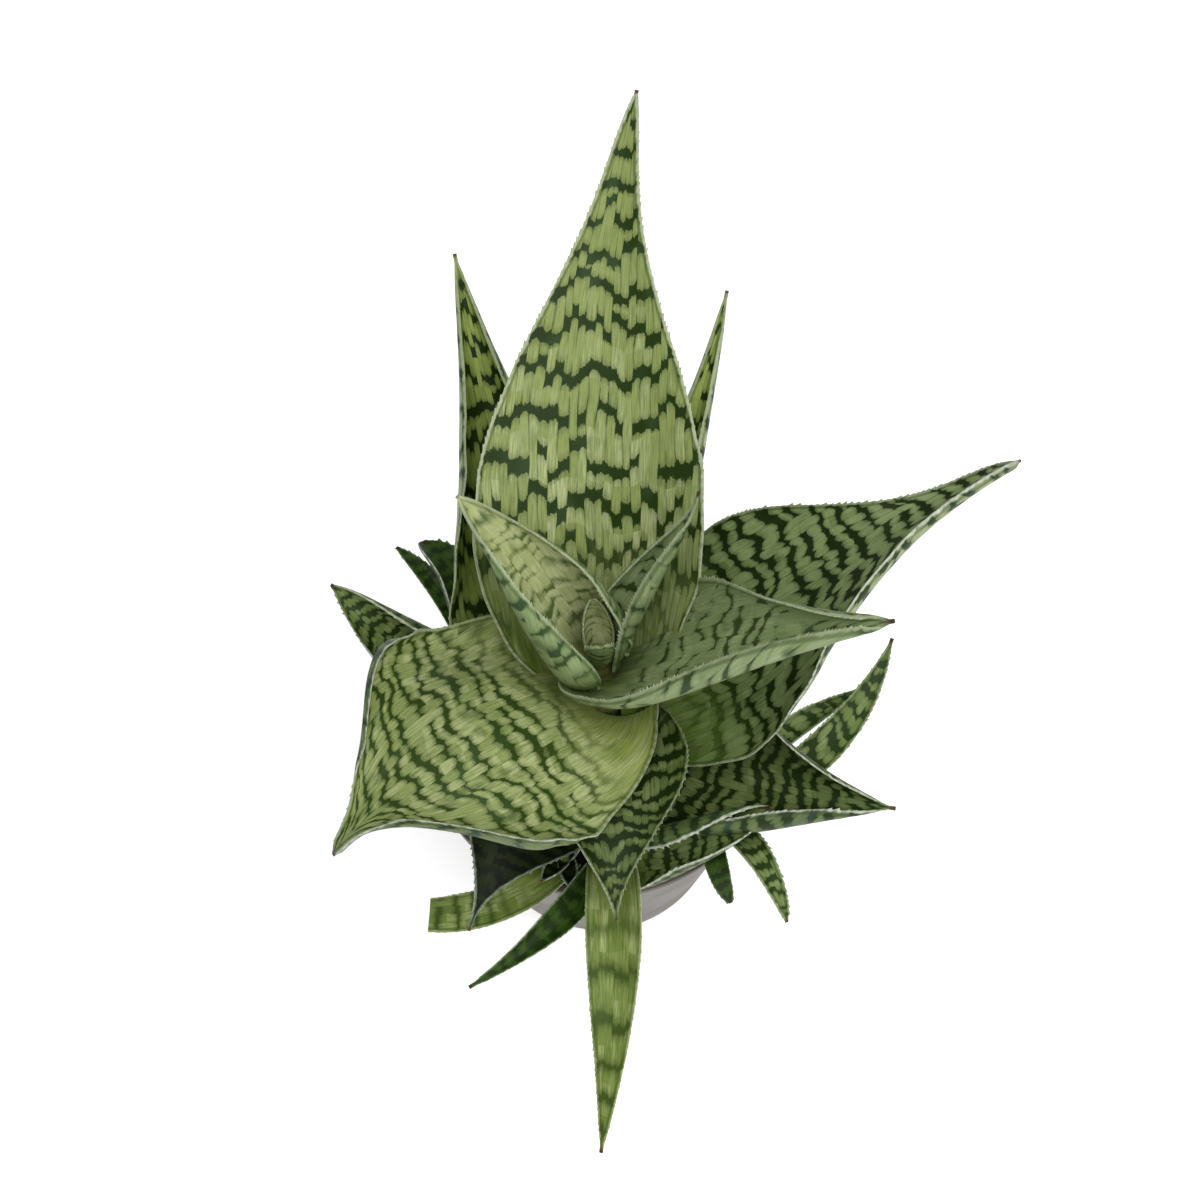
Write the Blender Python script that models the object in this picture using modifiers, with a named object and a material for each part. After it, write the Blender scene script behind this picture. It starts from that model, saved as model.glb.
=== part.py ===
"""Potted aloe: one large rosette with four small offsets, in a round nursery pot.

Metres, +Z up. The origin is the centre of the pot's underside, on the surface the pot stands on.
+Y is the side that the tallest leaf leans to.
"""

import math
from dataclasses import dataclass

import bmesh
import bpy
import numpy as np
from mathutils import Matrix, Vector, noise
from mathutils.bvhtree import BVHTree

MM = 0.001
MERGE = 0.00001
GAP = 0.3 * MM

# Pot
POT_HEIGHT = 87.5 * MM
POT_TOP_RADIUS = 51.3 * MM
POT_BASE_RADIUS = 39.5 * MM
POT_WALL = 1.3 * MM
LIP_OVERHANG = 1.2 * MM
LIP_DEPTH = 3.0 * MM
FLOOR_THICKNESS = 1.8 * MM
FOOT_CHANNEL = (21 * MM, 23 * MM, 33 * MM, 35 * MM)
FOOT_CHANNEL_LIFT = 2.6 * MM
DRAIN_HOLES = 8
DRAIN_HOLE_RADIUS = 3.2 * MM
ROUND_STEPS = 36

# Soil
SOIL_LEVEL = 79 * MM
SOIL_LUMPS = 1.4 * MM
SOIL_LUMP_SIZE = 7 * MM
SOIL_RINGS = 6

# Stems
STEM_RADIUS = 7 * MM
STEM_TOP_RADIUS = 2.4 * MM
STEM_TOP = 136 * MM
STEM_FOOT = 58 * MM
STEM_STEPS = 16
OFFSET_STEM_RADIUS = 2.6 * MM
OFFSET_STEM_TOP = 93 * MM
OFFSET_STEM_FOOT = 68 * MM
OFFSET_STEM_STEPS = 10
STEM_CLEARANCE = 0.3 * MM

# Where the offsets' stems stand, across the soil
FRONT = (3 * MM, -40 * MM)
RIGHT = (32.5 * MM, -28.5 * MM)
LEFT = (-36 * MM, 12 * MM)
TINY = (-10 * MM, -42 * MM)

# Leaves
TOOTH_PITCH = 8.5 * MM
TOOTH_HEIGHT = 1.2 * MM
FULL_TOOTH_FROM = 6 * MM
FEWEST_TEETH = 4
MARGIN_THICKNESS = 0.9 * MM
TIP_WIDTH = 0.9 * MM
TIP_THINNING = 0.6
UPPER_SHARE = 0.25
TIGHTEST_BEND = 1.2 * MM
TIGHTEST_CURL = 1.0 * MM
CURL_POWER = 5
SECTION_STEPS = 41
ROOT_SINK = 3 * MM
LEAF_CLEARANCE = 0.45 * MM
MIDRIB_STEPS = 240
LARGE_COLUMNS = (-1.0, -0.55, 0.0, 0.55, 1.0)
SMALL_COLUMNS = (-1.0, 0.0, 1.0)


@dataclass(frozen=True)
class Leaf:
    """One leaf, in millimetres and degrees.

    azimuth: where it grows to, seen from above, from +X towards +Y.
    height: where it leaves the stem.
    length: along the midrib. width: at its widest, flattened out.
    rise: slope of the midrib at the root, half way and at the tip.
    swing: how far the midrib turns to the left by its tip.
    roll: how far the blade turns about its midrib, at the root and at the tip.
    fold: half of the angle that its channelled section bends through, at equal steps to the tip.
    widest: where along its length the widest place is.
    taper: how early it narrows towards the tip. point: how much broader the tip is than that leaves it.
    curl: how much further the right and the left margin roll over, from half way to the tip.
    thickness: of the flesh over the midrib, near the root.
    start: how far from the stem's axis it leaves.
    base: width at the root as a share of the width.
    kept: share of its length that is left, where the end was cut off.
    """

    name: str
    azimuth: float
    height: float
    length: float
    width: float
    rise: tuple
    swing: float
    roll: tuple
    fold: tuple
    widest: float
    taper: float
    point: float = 0.0
    curl: tuple = (0, 0)
    thickness: float = 4.6
    start: float = 8.0
    base: float = 0.6
    stem: tuple = (0.0, 0.0)
    columns: tuple = LARGE_COLUMNS
    kept: float = 1.0


def offset_leaf(stem, *values, **changes):
    """A leaf of an offset: smaller, thinner, and low on a short stem."""
    settings = {"thickness": 2.4, "start": 3.0, "base": 0.7, "columns": SMALL_COLUMNS}
    settings.update(changes)
    return Leaf(*values, stem=stem, **settings)


# Innermost and uppermost first: each leaf lies over those that follow it.
ROSETTE = (
    Leaf("leaf_bud_inner", 278, 137, 14, 11, (72, 84, 96), 0, (0, 0), (85, 70, 45), 0.4, 0.6, 0.3,
         thickness=1.6, start=2.0, base=0.75),
    Leaf("leaf_bud_outer", 104, 137, 20, 13, (66, 74, 72), 0, (0, 0), (105, 92, 60), 0.4, 0.7, 0.3,
         thickness=1.8, start=2.2, base=0.75),
    Leaf("leaf_inner_right", 42, 136, 63, 20, (75, 57, 85), -9, (3, -20), (82, 118, 126, 82), 0.27, 2.1,
         0.2, curl=(48, -14), thickness=2.6, start=4.0),
    Leaf("leaf_inner_left", 152, 132, 66, 52, (58, 61, 27), -8, (-12, -10), (130, 125, 74, 66), 0.17,
         1.72, 1.53, curl=(27, 90), thickness=3.6, start=5.0),
    Leaf("leaf_young_right", -24, 128, 99, 48.4, (59, 50, 33), 15, (-16, 19), (91, 40, 91, 150), 0.08,
         1.05, 0.22, curl=(95, -10), start=6.0, base=0.8),
    Leaf("leaf_tall_back", 94, 122, 157, 70, (63, 30, 25), -16, (-10, -7), (88, 44, 26, 46), 0.21, 2.12,
         1.26, curl=(-14, 1), thickness=5.2, start=7.0),
    Leaf("leaf_broad_left", 221, 117, 100, 83, (66, 15, -57), -5, (-2, 8), (71, -60, -10, 62), 0.5,
         3.0, 0.85, curl=(208, 162), thickness=5.2),
    Leaf("leaf_long_right", 9, 112, 131, 70, (15, 38, -22), 27, (12, -51), (19, 15, 45, 48), 0.32, 2.67,
         1.55, curl=(35, 11), thickness=5.2),
    Leaf("leaf_front", 271, 108, 66, 49, (48, 10, -36), 6, (-8, -17), (82, 50, 65), 0.34, 1.86, 0.31),
    Leaf("leaf_back_left", 117, 106, 127, 70, (14, 35, 35), -14, (-29, 4), (17, 114, 81), 0.2, 1.76,
         0.44),
    Leaf("leaf_back_right", 66, 101, 118, 35, (37, 28, 36), 10, (-2, -9), (72, 116, 75), 0.2, 2.02, 0.94),
    Leaf("leaf_low_right", 320, 99, 86, 50, (8, 24, 8), 29, (16, 19), (59, 33, 93, 68), 0.46, 1.53,
         0.0, curl=(95, 0)),
    Leaf("leaf_front_left", 236, 99, 71, 51, (33, 4, -26), 13, (-7, -24), (80, 38, 56), 0.33, 2.26, 0.14),
    Leaf("leaf_lower_back", 92, 96, 84, 38, (26, 12, -4), 0, (0, 6), (62, 46, 50), 0.3, 1.6, 0.3,
         thickness=4.0),
    Leaf("leaf_lower_left", 188, 94, 60, 34, (22, 4, -18), 8, (0, 0), (62, 44, 50), 0.32, 1.5, 0.3,
         thickness=4.0),
    Leaf("leaf_lower_right", 22, 93, 68, 34, (20, 8, -4), -4, (0, 0), (62, 44, 50), 0.32, 1.5, 0.3,
         thickness=4.0),
)

OFFSETS = (
    offset_leaf(FRONT, "offset_front_leaf_long", 274, 90, 90, 16, (61, -7, -35), -12, (8, 18),
                (39, 24, 10), 0.28, 1.26, 1.17, base=0.8, thickness=2.8),
    offset_leaf(FRONT, "offset_front_leaf_right", -7, 93.4, 50, 31, (26, 44, 17), 20, (48, 43),
                (66, 141, 58), 0.3, 0.9, 0.34, columns=LARGE_COLUMNS),
    offset_leaf(FRONT, "offset_front_leaf_left", 244, 90, 56, 11.0, (25, 12, -10), -35, (-14, -14),
                (55, 69, 55), 0.3, 1.44, 1.24),
    offset_leaf(RIGHT, "offset_right_leaf_long", 13, 90, 72, 10.5, (22, 21, 19), 57, (7, 8),
                (50, 24, 21), 0.39, 0.93, 0.0),
    offset_leaf(RIGHT, "offset_right_leaf_back", 49, 90, 56, 8.2, (49, 6, 12), -24, (-11, -1),
                (61, 49, 15), 0.46, 0.96, 0.0),
    offset_leaf(RIGHT, "offset_right_leaf_front", 309, 90, 41, 8.8, (50, 11, -48), -19, (0, -11),
                (45, 38, 28), 0.31, 0.9, 1.49),
    offset_leaf(RIGHT, "offset_right_leaf_short", 263, 90, 26, 6.6, (35, 2, -16), 35, (3, 6),
                (40, 19, 21), 0.47, 0.53, 0.51),
    offset_leaf(LEFT, "offset_left_leaf_broad", 163, 90, 52, 35, (26, 41, 10), -15, (-31, -47),
                (59, 107, 33), 0.29, 1.32, 0.82, base=0.95, columns=LARGE_COLUMNS),
    offset_leaf(LEFT, "offset_left_leaf_back", 91, 90, 46, 21, (47, 29, -5), 49, (9, 35), (43, 71, 35),
                0.41, 0.61, 0.79),
    offset_leaf(LEFT, "offset_left_leaf_narrow", 107, 90, 47, 7.3, (53, 21, 6), 35, (6, 2), (55, 43, 22),
                0.45, 0.66, 0.0),
    offset_leaf(TINY, "offset_tiny_leaf_cut", 230, 87.8, 63, 11, (20, 1, -2), -79, (0, 0), (40, 22, 14),
                0.4, 0.6, 0.3, start=2.0, base=0.9, kept=0.66),
)

TINY_LEAVES = (
    offset_leaf(TINY, "tiny_a", 235, 90, 13, 6, (55, 35, 20), 0, (0, 0), (60, 50, 40), 0.4, 0.9, 0.3,
                thickness=1.4, start=0.6),
    offset_leaf(TINY, "tiny_b", 282, 90, 13, 6, (50, 30, 10), 0, (0, 0), (60, 50, 40), 0.4, 0.9, 0.3,
                thickness=1.4, start=0.6),
    offset_leaf(TINY, "tiny_c", 150, 90, 11, 5, (62, 45, 30), 0, (0, 0), (60, 50, 40), 0.4, 0.9, 0.3,
                thickness=1.4, start=0.6),
    offset_leaf(TINY, "tiny_d", 20, 90, 10, 5, (70, 60, 50), 0, (0, 0), (60, 50, 40), 0.4, 0.9, 0.3,
                thickness=1.4, start=0.6),
)

COLOURS = {
    "pot_plastic": ((0.27, 0.235, 0.235, 1.0), 0.5),
    "soil": ((0.022, 0.016, 0.012, 1.0), 0.95),
    "stem": ((0.16, 0.19, 0.06, 1.0), 0.7),
    "leaf": ((0.20, 0.27, 0.12, 1.0), 0.5),
    "inner_leaf": ((0.19, 0.26, 0.15, 1.0), 0.5),
    "offset_leaf": ((0.12, 0.19, 0.06, 1.0), 0.55),
}


def clear_scene():
    """Remove everything that the file holds."""
    for thing in list(bpy.data.objects):
        bpy.data.objects.remove(thing)


def collection(name):
    """A collection in the scene, made anew."""
    old = bpy.data.collections.get(name)
    if old:
        bpy.data.collections.remove(old)
    made = bpy.data.collections.new(name)
    bpy.context.scene.collection.children.link(made)
    return made


def material(name):
    """A Principled material with this finish's colour and roughness."""
    colour, roughness = COLOURS[name]
    made = bpy.data.materials.get(name) or bpy.data.materials.new(name)
    made.use_nodes = True
    made.diffuse_color = colour
    shader = made.node_tree.nodes["Principled BSDF"]
    shader.inputs["Base Color"].default_value = colour
    shader.inputs["Roughness"].default_value = roughness
    return made


def add_object(name, vertices, faces, group, finish=None):
    """A mesh object from its points and faces."""
    mesh = bpy.data.meshes.new(name)
    mesh.from_pydata(vertices, [], faces)
    mesh.update()
    piece = bpy.data.objects.new(name, mesh)
    group.objects.link(piece)
    if finish:
        mesh.materials.append(material(finish))
        mesh.shade_smooth()
        mesh.set_sharp_from_angle(angle=math.radians(40))
    return piece


def evaluated_mesh(piece):
    """The object's mesh with its modifiers applied."""
    graph = bpy.context.evaluated_depsgraph_get()
    return bpy.data.meshes.new_from_object(piece.evaluated_get(graph), depsgraph=graph)


def turned(name, profile, group, finish=None, steps=ROUND_STEPS):
    """Turn a closed (radius, height) profile about +Z. It runs down its outer side."""
    points = [(radius, 0.0, height) for radius, height in profile]
    edges = [(i, i + 1) for i in range(len(points) - 1)]
    if profile[0][0] > 0:
        edges.append((len(points) - 1, 0))
    mesh = bpy.data.meshes.new(name)
    mesh.from_pydata(points, edges, [])
    piece = bpy.data.objects.new(name, mesh)
    group.objects.link(piece)
    screw = piece.modifiers.new("turn", "SCREW")
    screw.steps = steps
    screw.render_steps = steps
    screw.use_merge_vertices = True
    screw.merge_threshold = MERGE
    if finish:
        mesh.materials.append(material(finish))
    return piece


def apply_modifiers(piece):
    """Replace the object's mesh with its evaluated one."""
    finished = evaluated_mesh(piece)
    piece.modifiers.clear()
    piece.data = finished
    return piece


def move(piece, place):
    """Shift the mesh itself across the soil, so that the object stays at the origin."""
    piece.data.transform(Matrix.Translation((place[0], place[1], 0.0)))
    return piece


def outer_radius(height):
    """Radius of the pot's outer wall, below the lip."""
    return POT_BASE_RADIUS + (POT_TOP_RADIUS - POT_BASE_RADIUS) * height / POT_HEIGHT


def underside(rise):
    """The foot seen in section, from the wall to the middle, `rise` above the pot's underside: a ring
    and a disc to stand on, with a raised channel between them."""
    inner, inner_ramp, outer_ramp, outer = FOOT_CHANNEL
    top = rise + FOOT_CHANNEL_LIFT
    return [(outer, rise), (outer_ramp, top), (inner_ramp, top), (inner, rise), (0.0, rise)]


def pot(group, cutters):
    """A thin conical shell with a small lip, standing on a ring and a disc."""
    inner_top = POT_TOP_RADIUS - POT_WALL
    inner_foot = outer_radius(FLOOR_THICKNESS) - POT_WALL
    lip = POT_TOP_RADIUS + LIP_OVERHANG
    shoulder = POT_HEIGHT - LIP_DEPTH
    profile = [
        (lip - 0.4 * MM, POT_HEIGHT),
        (lip, POT_HEIGHT - 0.5 * MM),
        (lip, shoulder),
        (outer_radius(shoulder - LIP_OVERHANG), shoulder - LIP_OVERHANG),
        (outer_radius(1.5 * MM), 1.5 * MM),
        (POT_BASE_RADIUS - 1.2 * MM, 0.0),
    ]
    profile += underside(0.0)
    inside = underside(FLOOR_THICKNESS)[::-1]
    inside += [(inner_foot, FLOOR_THICKNESS), (inner_top, POT_HEIGHT - 0.4 * MM), (inner_top + 0.4 * MM, POT_HEIGHT)]
    piece = turned("pot", profile + inside, group, "pot_plastic")
    middle = (FOOT_CHANNEL[1] + FOOT_CHANNEL[2]) / 2
    for i in range(DRAIN_HOLES):
        turn = 2 * math.pi * (i + 0.5) / DRAIN_HOLES
        bpy.ops.mesh.primitive_cylinder_add(
            vertices=12, radius=DRAIN_HOLE_RADIUS, depth=20 * MM,
            location=(middle * math.cos(turn), middle * math.sin(turn), 0.0))
        cutter = bpy.context.object
        cutter.name = f"drain_cutter_{i + 1}"
        place_cutter(cutter, cutters)
        bore(piece, cutter)
    return piece


def place_cutter(cutter, cutters):
    """Put a cutter in the cutters' collection, out of the render."""
    for old in list(cutter.users_collection):
        old.objects.unlink(cutter)
    cutters.objects.link(cutter)
    cutter.hide_render = True
    cutter.display_type = "WIRE"


def bore(piece, cutter):
    """Cut the cutter's shape out of the piece."""
    cut = piece.modifiers.new(cutter.name, "BOOLEAN")
    cut.operation = "DIFFERENCE"
    cut.solver = "EXACT"
    cut.object = cutter


def soil(group):
    """Potting mix that fills the pot to below its lip, with a crumbled top."""
    inset = POT_WALL + GAP
    floor = FLOOR_THICKNESS + GAP
    edge = outer_radius(SOIL_LEVEL) - inset
    rings = [(edge * i / SOIL_RINGS, SOIL_LEVEL) for i in range(SOIL_RINGS + 1)]
    profile = rings + [(outer_radius(floor) - inset, floor)] + underside(floor)
    piece = apply_modifiers(turned("soil", profile, group, "soil"))
    for vertex in piece.data.vertices:
        radius = math.hypot(vertex.co.x, vertex.co.y)
        if vertex.co.z > SOIL_LEVEL - MERGE and radius < edge - MM:
            vertex.co.z += SOIL_LUMPS * noise.noise(vertex.co / SOIL_LUMP_SIZE)
    return piece


def main_stem(group, finish="stem", grow=0.0):
    """The short thick stem that the large leaves leave."""
    profile = [
        (0.0, STEM_TOP + grow),
        (STEM_TOP_RADIUS + grow, STEM_TOP + grow),
        (STEM_RADIUS + grow, STEM_TOP - 24 * MM),
        (STEM_RADIUS + grow, SOIL_LEVEL),
        (0.7 * STEM_RADIUS + grow, STEM_FOOT - grow),
        (0.0, STEM_FOOT - grow),
    ]
    return apply_modifiers(turned("stem_main", profile, group, finish, STEM_STEPS))


def offset_stem(name, place, group, finish="stem", grow=0.0):
    """The short stem of one offset, coming up through the soil."""
    profile = [
        (0.0, OFFSET_STEM_TOP + grow),
        (OFFSET_STEM_RADIUS * 0.7 + grow, OFFSET_STEM_TOP + grow),
        (OFFSET_STEM_RADIUS + grow, OFFSET_STEM_TOP - 4 * MM),
        (OFFSET_STEM_RADIUS + grow, SOIL_LEVEL),
        (OFFSET_STEM_RADIUS * 0.5 + grow, OFFSET_STEM_FOOT - grow),
        (0.0, OFFSET_STEM_FOOT - grow),
    ]
    piece = apply_modifiers(turned(name, profile, group, finish, OFFSET_STEM_STEPS))
    return move(piece, place)


def through(values, s):
    """A smooth curve through the values, at equal steps from s = 0 to s = 1."""
    places = np.linspace(0, 1, len(values))
    return np.polyval(np.polyfit(places, values, len(values) - 1), s)


def half_width(leaf, s):
    """Half the flattened width: it swells from the root to the widest place and narrows to the tip."""
    to_tip = np.clip((1 - s) / (1 - leaf.widest), 0, 1)
    to_root = np.clip((leaf.widest - s) / leaf.widest, 0, 1)
    swelling = 1 - (1 - leaf.base) * to_root**2
    narrowing = np.sin(math.pi / 2 * to_tip) ** leaf.taper + leaf.point * to_tip * (1 - to_tip) ** 6
    outline = np.where(s < leaf.widest, swelling, narrowing)
    return np.maximum(leaf.width * MM / 2 * outline, TIP_WIDTH / 2)


def flesh(leaf, s, across):
    """Thickness: fullest over the midrib, thinner towards the tip, and least at the margins."""
    middle = leaf.thickness * MM * (1 - TIP_THINNING * np.clip(s, 0, 1))
    middle = np.clip(middle, MARGIN_THICKNESS, MARGIN_THICKNESS + 0.8 * half_width(leaf, s))
    return MARGIN_THICKNESS + (middle - MARGIN_THICKNESS) * (1 - across**2)


def midrib(leaf, s):
    """Points on the midrib, and the blade's own directions to its left and up, at each s."""
    steps = np.linspace(-ROOT_SINK / (leaf.length * MM), 1, MIDRIB_STEPS)
    rise = np.radians(through(leaf.rise, steps))
    heading = np.radians(leaf.azimuth + leaf.swing * steps)
    forward = np.stack([np.cos(rise) * np.cos(heading), np.cos(rise) * np.sin(heading), np.sin(rise)], 1)
    level = np.stack([-np.sin(heading), np.cos(heading), 0 * heading], 1)
    upward = np.cross(forward, level)
    roll = np.radians(leaf.roll[0] + (leaf.roll[1] - leaf.roll[0]) * steps)[:, None]
    left = np.cos(roll) * level + np.sin(roll) * upward
    up = np.cos(roll) * upward - np.sin(roll) * level
    travel = np.cumsum((forward[1:] + forward[:-1]) / 2, axis=0) * (steps[1] - steps[0]) * leaf.length * MM
    path = np.vstack([np.zeros(3), travel])
    start = math.radians(leaf.azimuth)
    root = np.array([math.cos(start), math.sin(start), 0.0]) * leaf.start * MM
    root += (leaf.stem[0], leaf.stem[1], leaf.height * MM)
    centre = sample(steps, path, s)
    return root + centre - sample(steps, path, np.zeros(1)), sample(steps, left, s), sample(steps, up, s)


def sample(steps, rows, s):
    """Read each column of a table of vectors at the places s."""
    return np.stack([np.interp(s, steps, rows[:, i]) for i in range(3)], -1)


def section(leaf, s, across):
    """The blade's section at each s: how far each share across lies to the side and up, and its turn
    there. The blade bends evenly through `fold`, and its margins roll over by `curl` more."""
    half = half_width(leaf, s)[:, None]
    tightest = half / TIGHTEST_BEND
    fold = np.clip(np.radians(through(leaf.fold, s))[:, None], -tightest, tightest)
    spare = np.maximum(half / TIGHTEST_CURL - np.abs(fold), 0) / CURL_POWER
    ramp = np.clip(2 * s, 0, 1)[:, None]
    right, left = (np.clip(math.radians(curl) * ramp, -spare, spare) for curl in leaf.curl)

    def turn(share):
        return fold * share + np.where(share < 0, right, left) * share**CURL_POWER

    steps = np.linspace(-1, 1, SECTION_STEPS)
    bend = turn(steps[None, :])
    side = sample_rows(steps, half * running_sum(np.cos(bend), steps), across)
    lift = sample_rows(steps, half * running_sum(np.sin(bend), steps), across)
    return side, lift, turn(across)


def running_sum(rows, steps):
    """The area under each row from the middle step on."""
    strips = (rows[:, 1:] + rows[:, :-1]) / 2 * (steps[1] - steps[0])
    area = np.hstack([np.zeros((len(rows), 1)), np.cumsum(strips, axis=1)])
    return area - area[:, len(steps) // 2, None]


def sample_rows(steps, rows, across):
    """Read each row of a table at the shares across."""
    return np.stack([np.interp(across[0], steps, row) for row in rows])


def sheet(leaf, s, across, depth, widen):
    """A grid of points: every s by every share across, `depth` below the leaf's own middle surface.
    `widen` moves points along the section."""
    centre, left, up = midrib(leaf, s)
    side, lift, turn = section(leaf, s, across)
    side = side + depth * np.sin(turn) + widen * np.cos(turn)
    lift = lift - depth * np.cos(turn) + widen * np.sin(turn)
    return centre[:, None] + side[..., None] * left[:, None] + lift[..., None] * up[:, None]


def slab_faces(rows, columns):
    """Triangles of a closed slab between an upper and a lower grid of points, alike on both."""
    grid = np.arange(rows * columns).reshape(rows, columns)
    a, b, c, d = grid[:-1, :-1], grid[1:, :-1], grid[1:, 1:], grid[:-1, 1:]
    upper = np.concatenate([np.stack([a, b, c], -1), np.stack([a, c, d], -1)]).reshape(-1, 3)
    lower = upper[:, ::-1] + rows * columns
    border = np.concatenate([grid[:-1, 0], grid[-1, :-1], grid[:0:-1, -1], grid[0, :0:-1]])
    after = np.roll(border, -1)
    below, below_after = border + rows * columns, after + rows * columns
    walls = np.concatenate([np.stack([below, below_after, after], -1), np.stack([below, after, border], -1)])
    return np.concatenate([upper, lower, walls])


def leaf_piece(leaf, group, finish=None, grow=0.0):
    """A leaf as a closed mesh with toothed margins, or a smooth one grown all round, to cut with."""
    pairs = max(FEWEST_TEETH, round(leaf.length * leaf.kept * MM / TOOTH_PITCH))
    sink = ROOT_SINK / (leaf.length * MM)
    s = np.linspace(-sink, leaf.kept, 2 * pairs + 1)
    columns = (-1.0, *leaf.columns, 1.0) if grow else leaf.columns
    across = np.array(columns)[None, :]
    widen = np.zeros((len(s), len(columns)))
    if grow:
        widen[:, -1] = TOOTH_HEIGHT + grow
    else:
        widen[1::2, -1] = TOOTH_HEIGHT * np.clip(half_width(leaf, s[1::2]) / FULL_TOOTH_FROM, 0.35, 1)
    widen[:, 0] = -widen[:, -1]
    thickness = flesh(leaf, s[:, None], across)
    upper = sheet(leaf, s, across, -UPPER_SHARE * thickness - grow, widen)
    lower = sheet(leaf, s, across, (1 - UPPER_SHARE) * thickness + grow, widen)
    points = np.concatenate([upper.reshape(-1, 3), lower.reshape(-1, 3)])
    faces = slab_faces(len(s), len(columns))
    return add_object(leaf.name, points.tolist(), faces.tolist(), group, finish)


def keep_largest_body(piece):
    """Delete the loose scraps that a cut leaves, so that the largest body stays."""
    work = bmesh.new()
    work.from_mesh(piece.data)
    left = set(work.verts)
    bodies = []
    while left:
        body = grow_from(left.pop())
        left -= body
        bodies.append(body)
    bodies.sort(key=body_size)
    scraps = [vertex for body in bodies[:-1] for vertex in body]
    bmesh.ops.delete(work, geom=scraps, context="VERTS")
    bmesh.ops.triangulate(work, faces=work.faces)
    work.to_mesh(piece.data)
    work.free()


def grow_from(first):
    """Every vertex that edges join to this one."""
    body = {first}
    front = [first]
    while front:
        vertex = front.pop()
        for edge in vertex.link_edges:
            other = edge.other_vert(vertex)
            if other not in body:
                body.add(other)
                front.append(other)
    return body


def body_size(body):
    """Diagonal of the box round a set of vertices."""
    low = Vector(min(vertex.co[i] for vertex in body) for i in range(3))
    high = Vector(max(vertex.co[i] for vertex in body) for i in range(3))
    return (high - low).length


def touches(piece, cutter):
    """Whether the two meshes' surfaces cross."""
    trees = []
    for thing in (piece, cutter):
        corners = [vertex.co for vertex in thing.data.vertices]
        faces = [tuple(polygon.vertices) for polygon in thing.data.polygons]
        trees.append(BVHTree.FromPolygons(corners, faces))
    return bool(trees[0].overlap(trees[1]))


def carve(piece, cutters):
    """Cut the piece back from every cutter that it crosses, and keep one body."""
    crossing = [cutter for cutter in cutters if touches(piece, cutter)]
    for cutter in crossing:
        bore(piece, cutter)
    if crossing:
        apply_modifiers(piece)
        keep_largest_body(piece)
        piece.data.shade_smooth()
        piece.data.set_sharp_from_angle(angle=math.radians(40))


def leaf_finish(leaf):
    """The finish by the leaf's age and place."""
    if leaf.name.startswith("offset"):
        return "offset_leaf"
    return "inner_leaf" if leaf.height >= 128 else "leaf"


def tiny_rosette(group, cutters):
    """The smallest offset: a thin stem and four leaves, grown together as one body."""
    piece = offset_stem("offset_tiny_rosette", TINY, group, "offset_leaf")
    parts = [leaf_piece(leaf, cutters) for leaf in TINY_LEAVES]
    for part in parts:
        join = piece.modifiers.new(part.name, "BOOLEAN")
        join.operation = "UNION"
        join.solver = "EXACT"
        join.object = part
    apply_modifiers(piece)
    for part in parts:
        bpy.data.objects.remove(part)
    keep_largest_body(piece)
    return piece


def build():
    """Make every piece, from the pot up and from the rosette's heart outwards."""
    clear_scene()
    plant = collection("potted_aloe")
    cutters = collection("cutters")
    pot(plant, cutters)
    ground = soil(plant)
    main_stem(plant)
    stem_places = {"offset_front_stem": FRONT, "offset_right_stem": RIGHT, "offset_left_stem": LEFT}
    grown = [main_stem(cutters, None, STEM_CLEARANCE)]
    for name, place in stem_places.items():
        offset_stem(name, place, plant)
        grown.append(offset_stem(name + "_cutter", place, cutters, None, STEM_CLEARANCE))
    tiny_rosette(plant, cutters)
    grown.append(offset_stem("tiny_stem_cutter", TINY, cutters, None, STEM_CLEARANCE))
    grown += [leaf_piece(leaf, cutters, None, LEAF_CLEARANCE) for leaf in TINY_LEAVES]
    carve(ground, grown)
    for leaf in ROSETTE + OFFSETS:
        piece = leaf_piece(leaf, plant, leaf_finish(leaf))
        carve(piece, grown)
        grown.append(leaf_piece(leaf, cutters, None, LEAF_CLEARANCE))
    for cutter in grown:
        bpy.data.objects.remove(cutter)


build()
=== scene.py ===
# %% [markdown]
# # A potted aloe
# The plant is one large rosette of broad, channelled leaves with pale dashes in bands, four small
# offsets round it, dark potting mix and a thin round nursery pot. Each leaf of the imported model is
# replaced by a finer one with the same form: real teeth, a rounded margin and a pattern that
# follows the leaf. The frame comes first, because every piece below goes where it says.

import math
from dataclasses import dataclass

import bpy
import numpy as np
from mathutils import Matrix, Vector


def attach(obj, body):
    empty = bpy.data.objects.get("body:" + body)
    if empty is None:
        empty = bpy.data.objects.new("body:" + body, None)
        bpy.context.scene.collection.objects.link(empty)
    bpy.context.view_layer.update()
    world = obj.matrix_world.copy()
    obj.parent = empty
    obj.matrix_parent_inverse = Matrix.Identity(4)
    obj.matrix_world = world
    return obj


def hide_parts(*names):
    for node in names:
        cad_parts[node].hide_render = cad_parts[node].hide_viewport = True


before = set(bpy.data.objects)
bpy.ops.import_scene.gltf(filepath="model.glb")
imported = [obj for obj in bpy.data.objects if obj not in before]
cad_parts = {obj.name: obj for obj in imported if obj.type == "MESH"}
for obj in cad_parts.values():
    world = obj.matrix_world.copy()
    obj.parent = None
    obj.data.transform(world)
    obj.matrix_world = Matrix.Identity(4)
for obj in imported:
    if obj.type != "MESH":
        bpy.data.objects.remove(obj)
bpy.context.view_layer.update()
MM = 0.001
print("CAD nodes:", len(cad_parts))

# %% [markdown]
# ## Camera
# The photo looks down on the plant from the front, 64 degrees above the table. The pot's rim, a
# circle seen at an angle, gives that slope, and the picture's perspective gives the lens. Aiming by
# eye would do, but placing the camera by these two numbers keeps every leaf where the photo has it.

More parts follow.
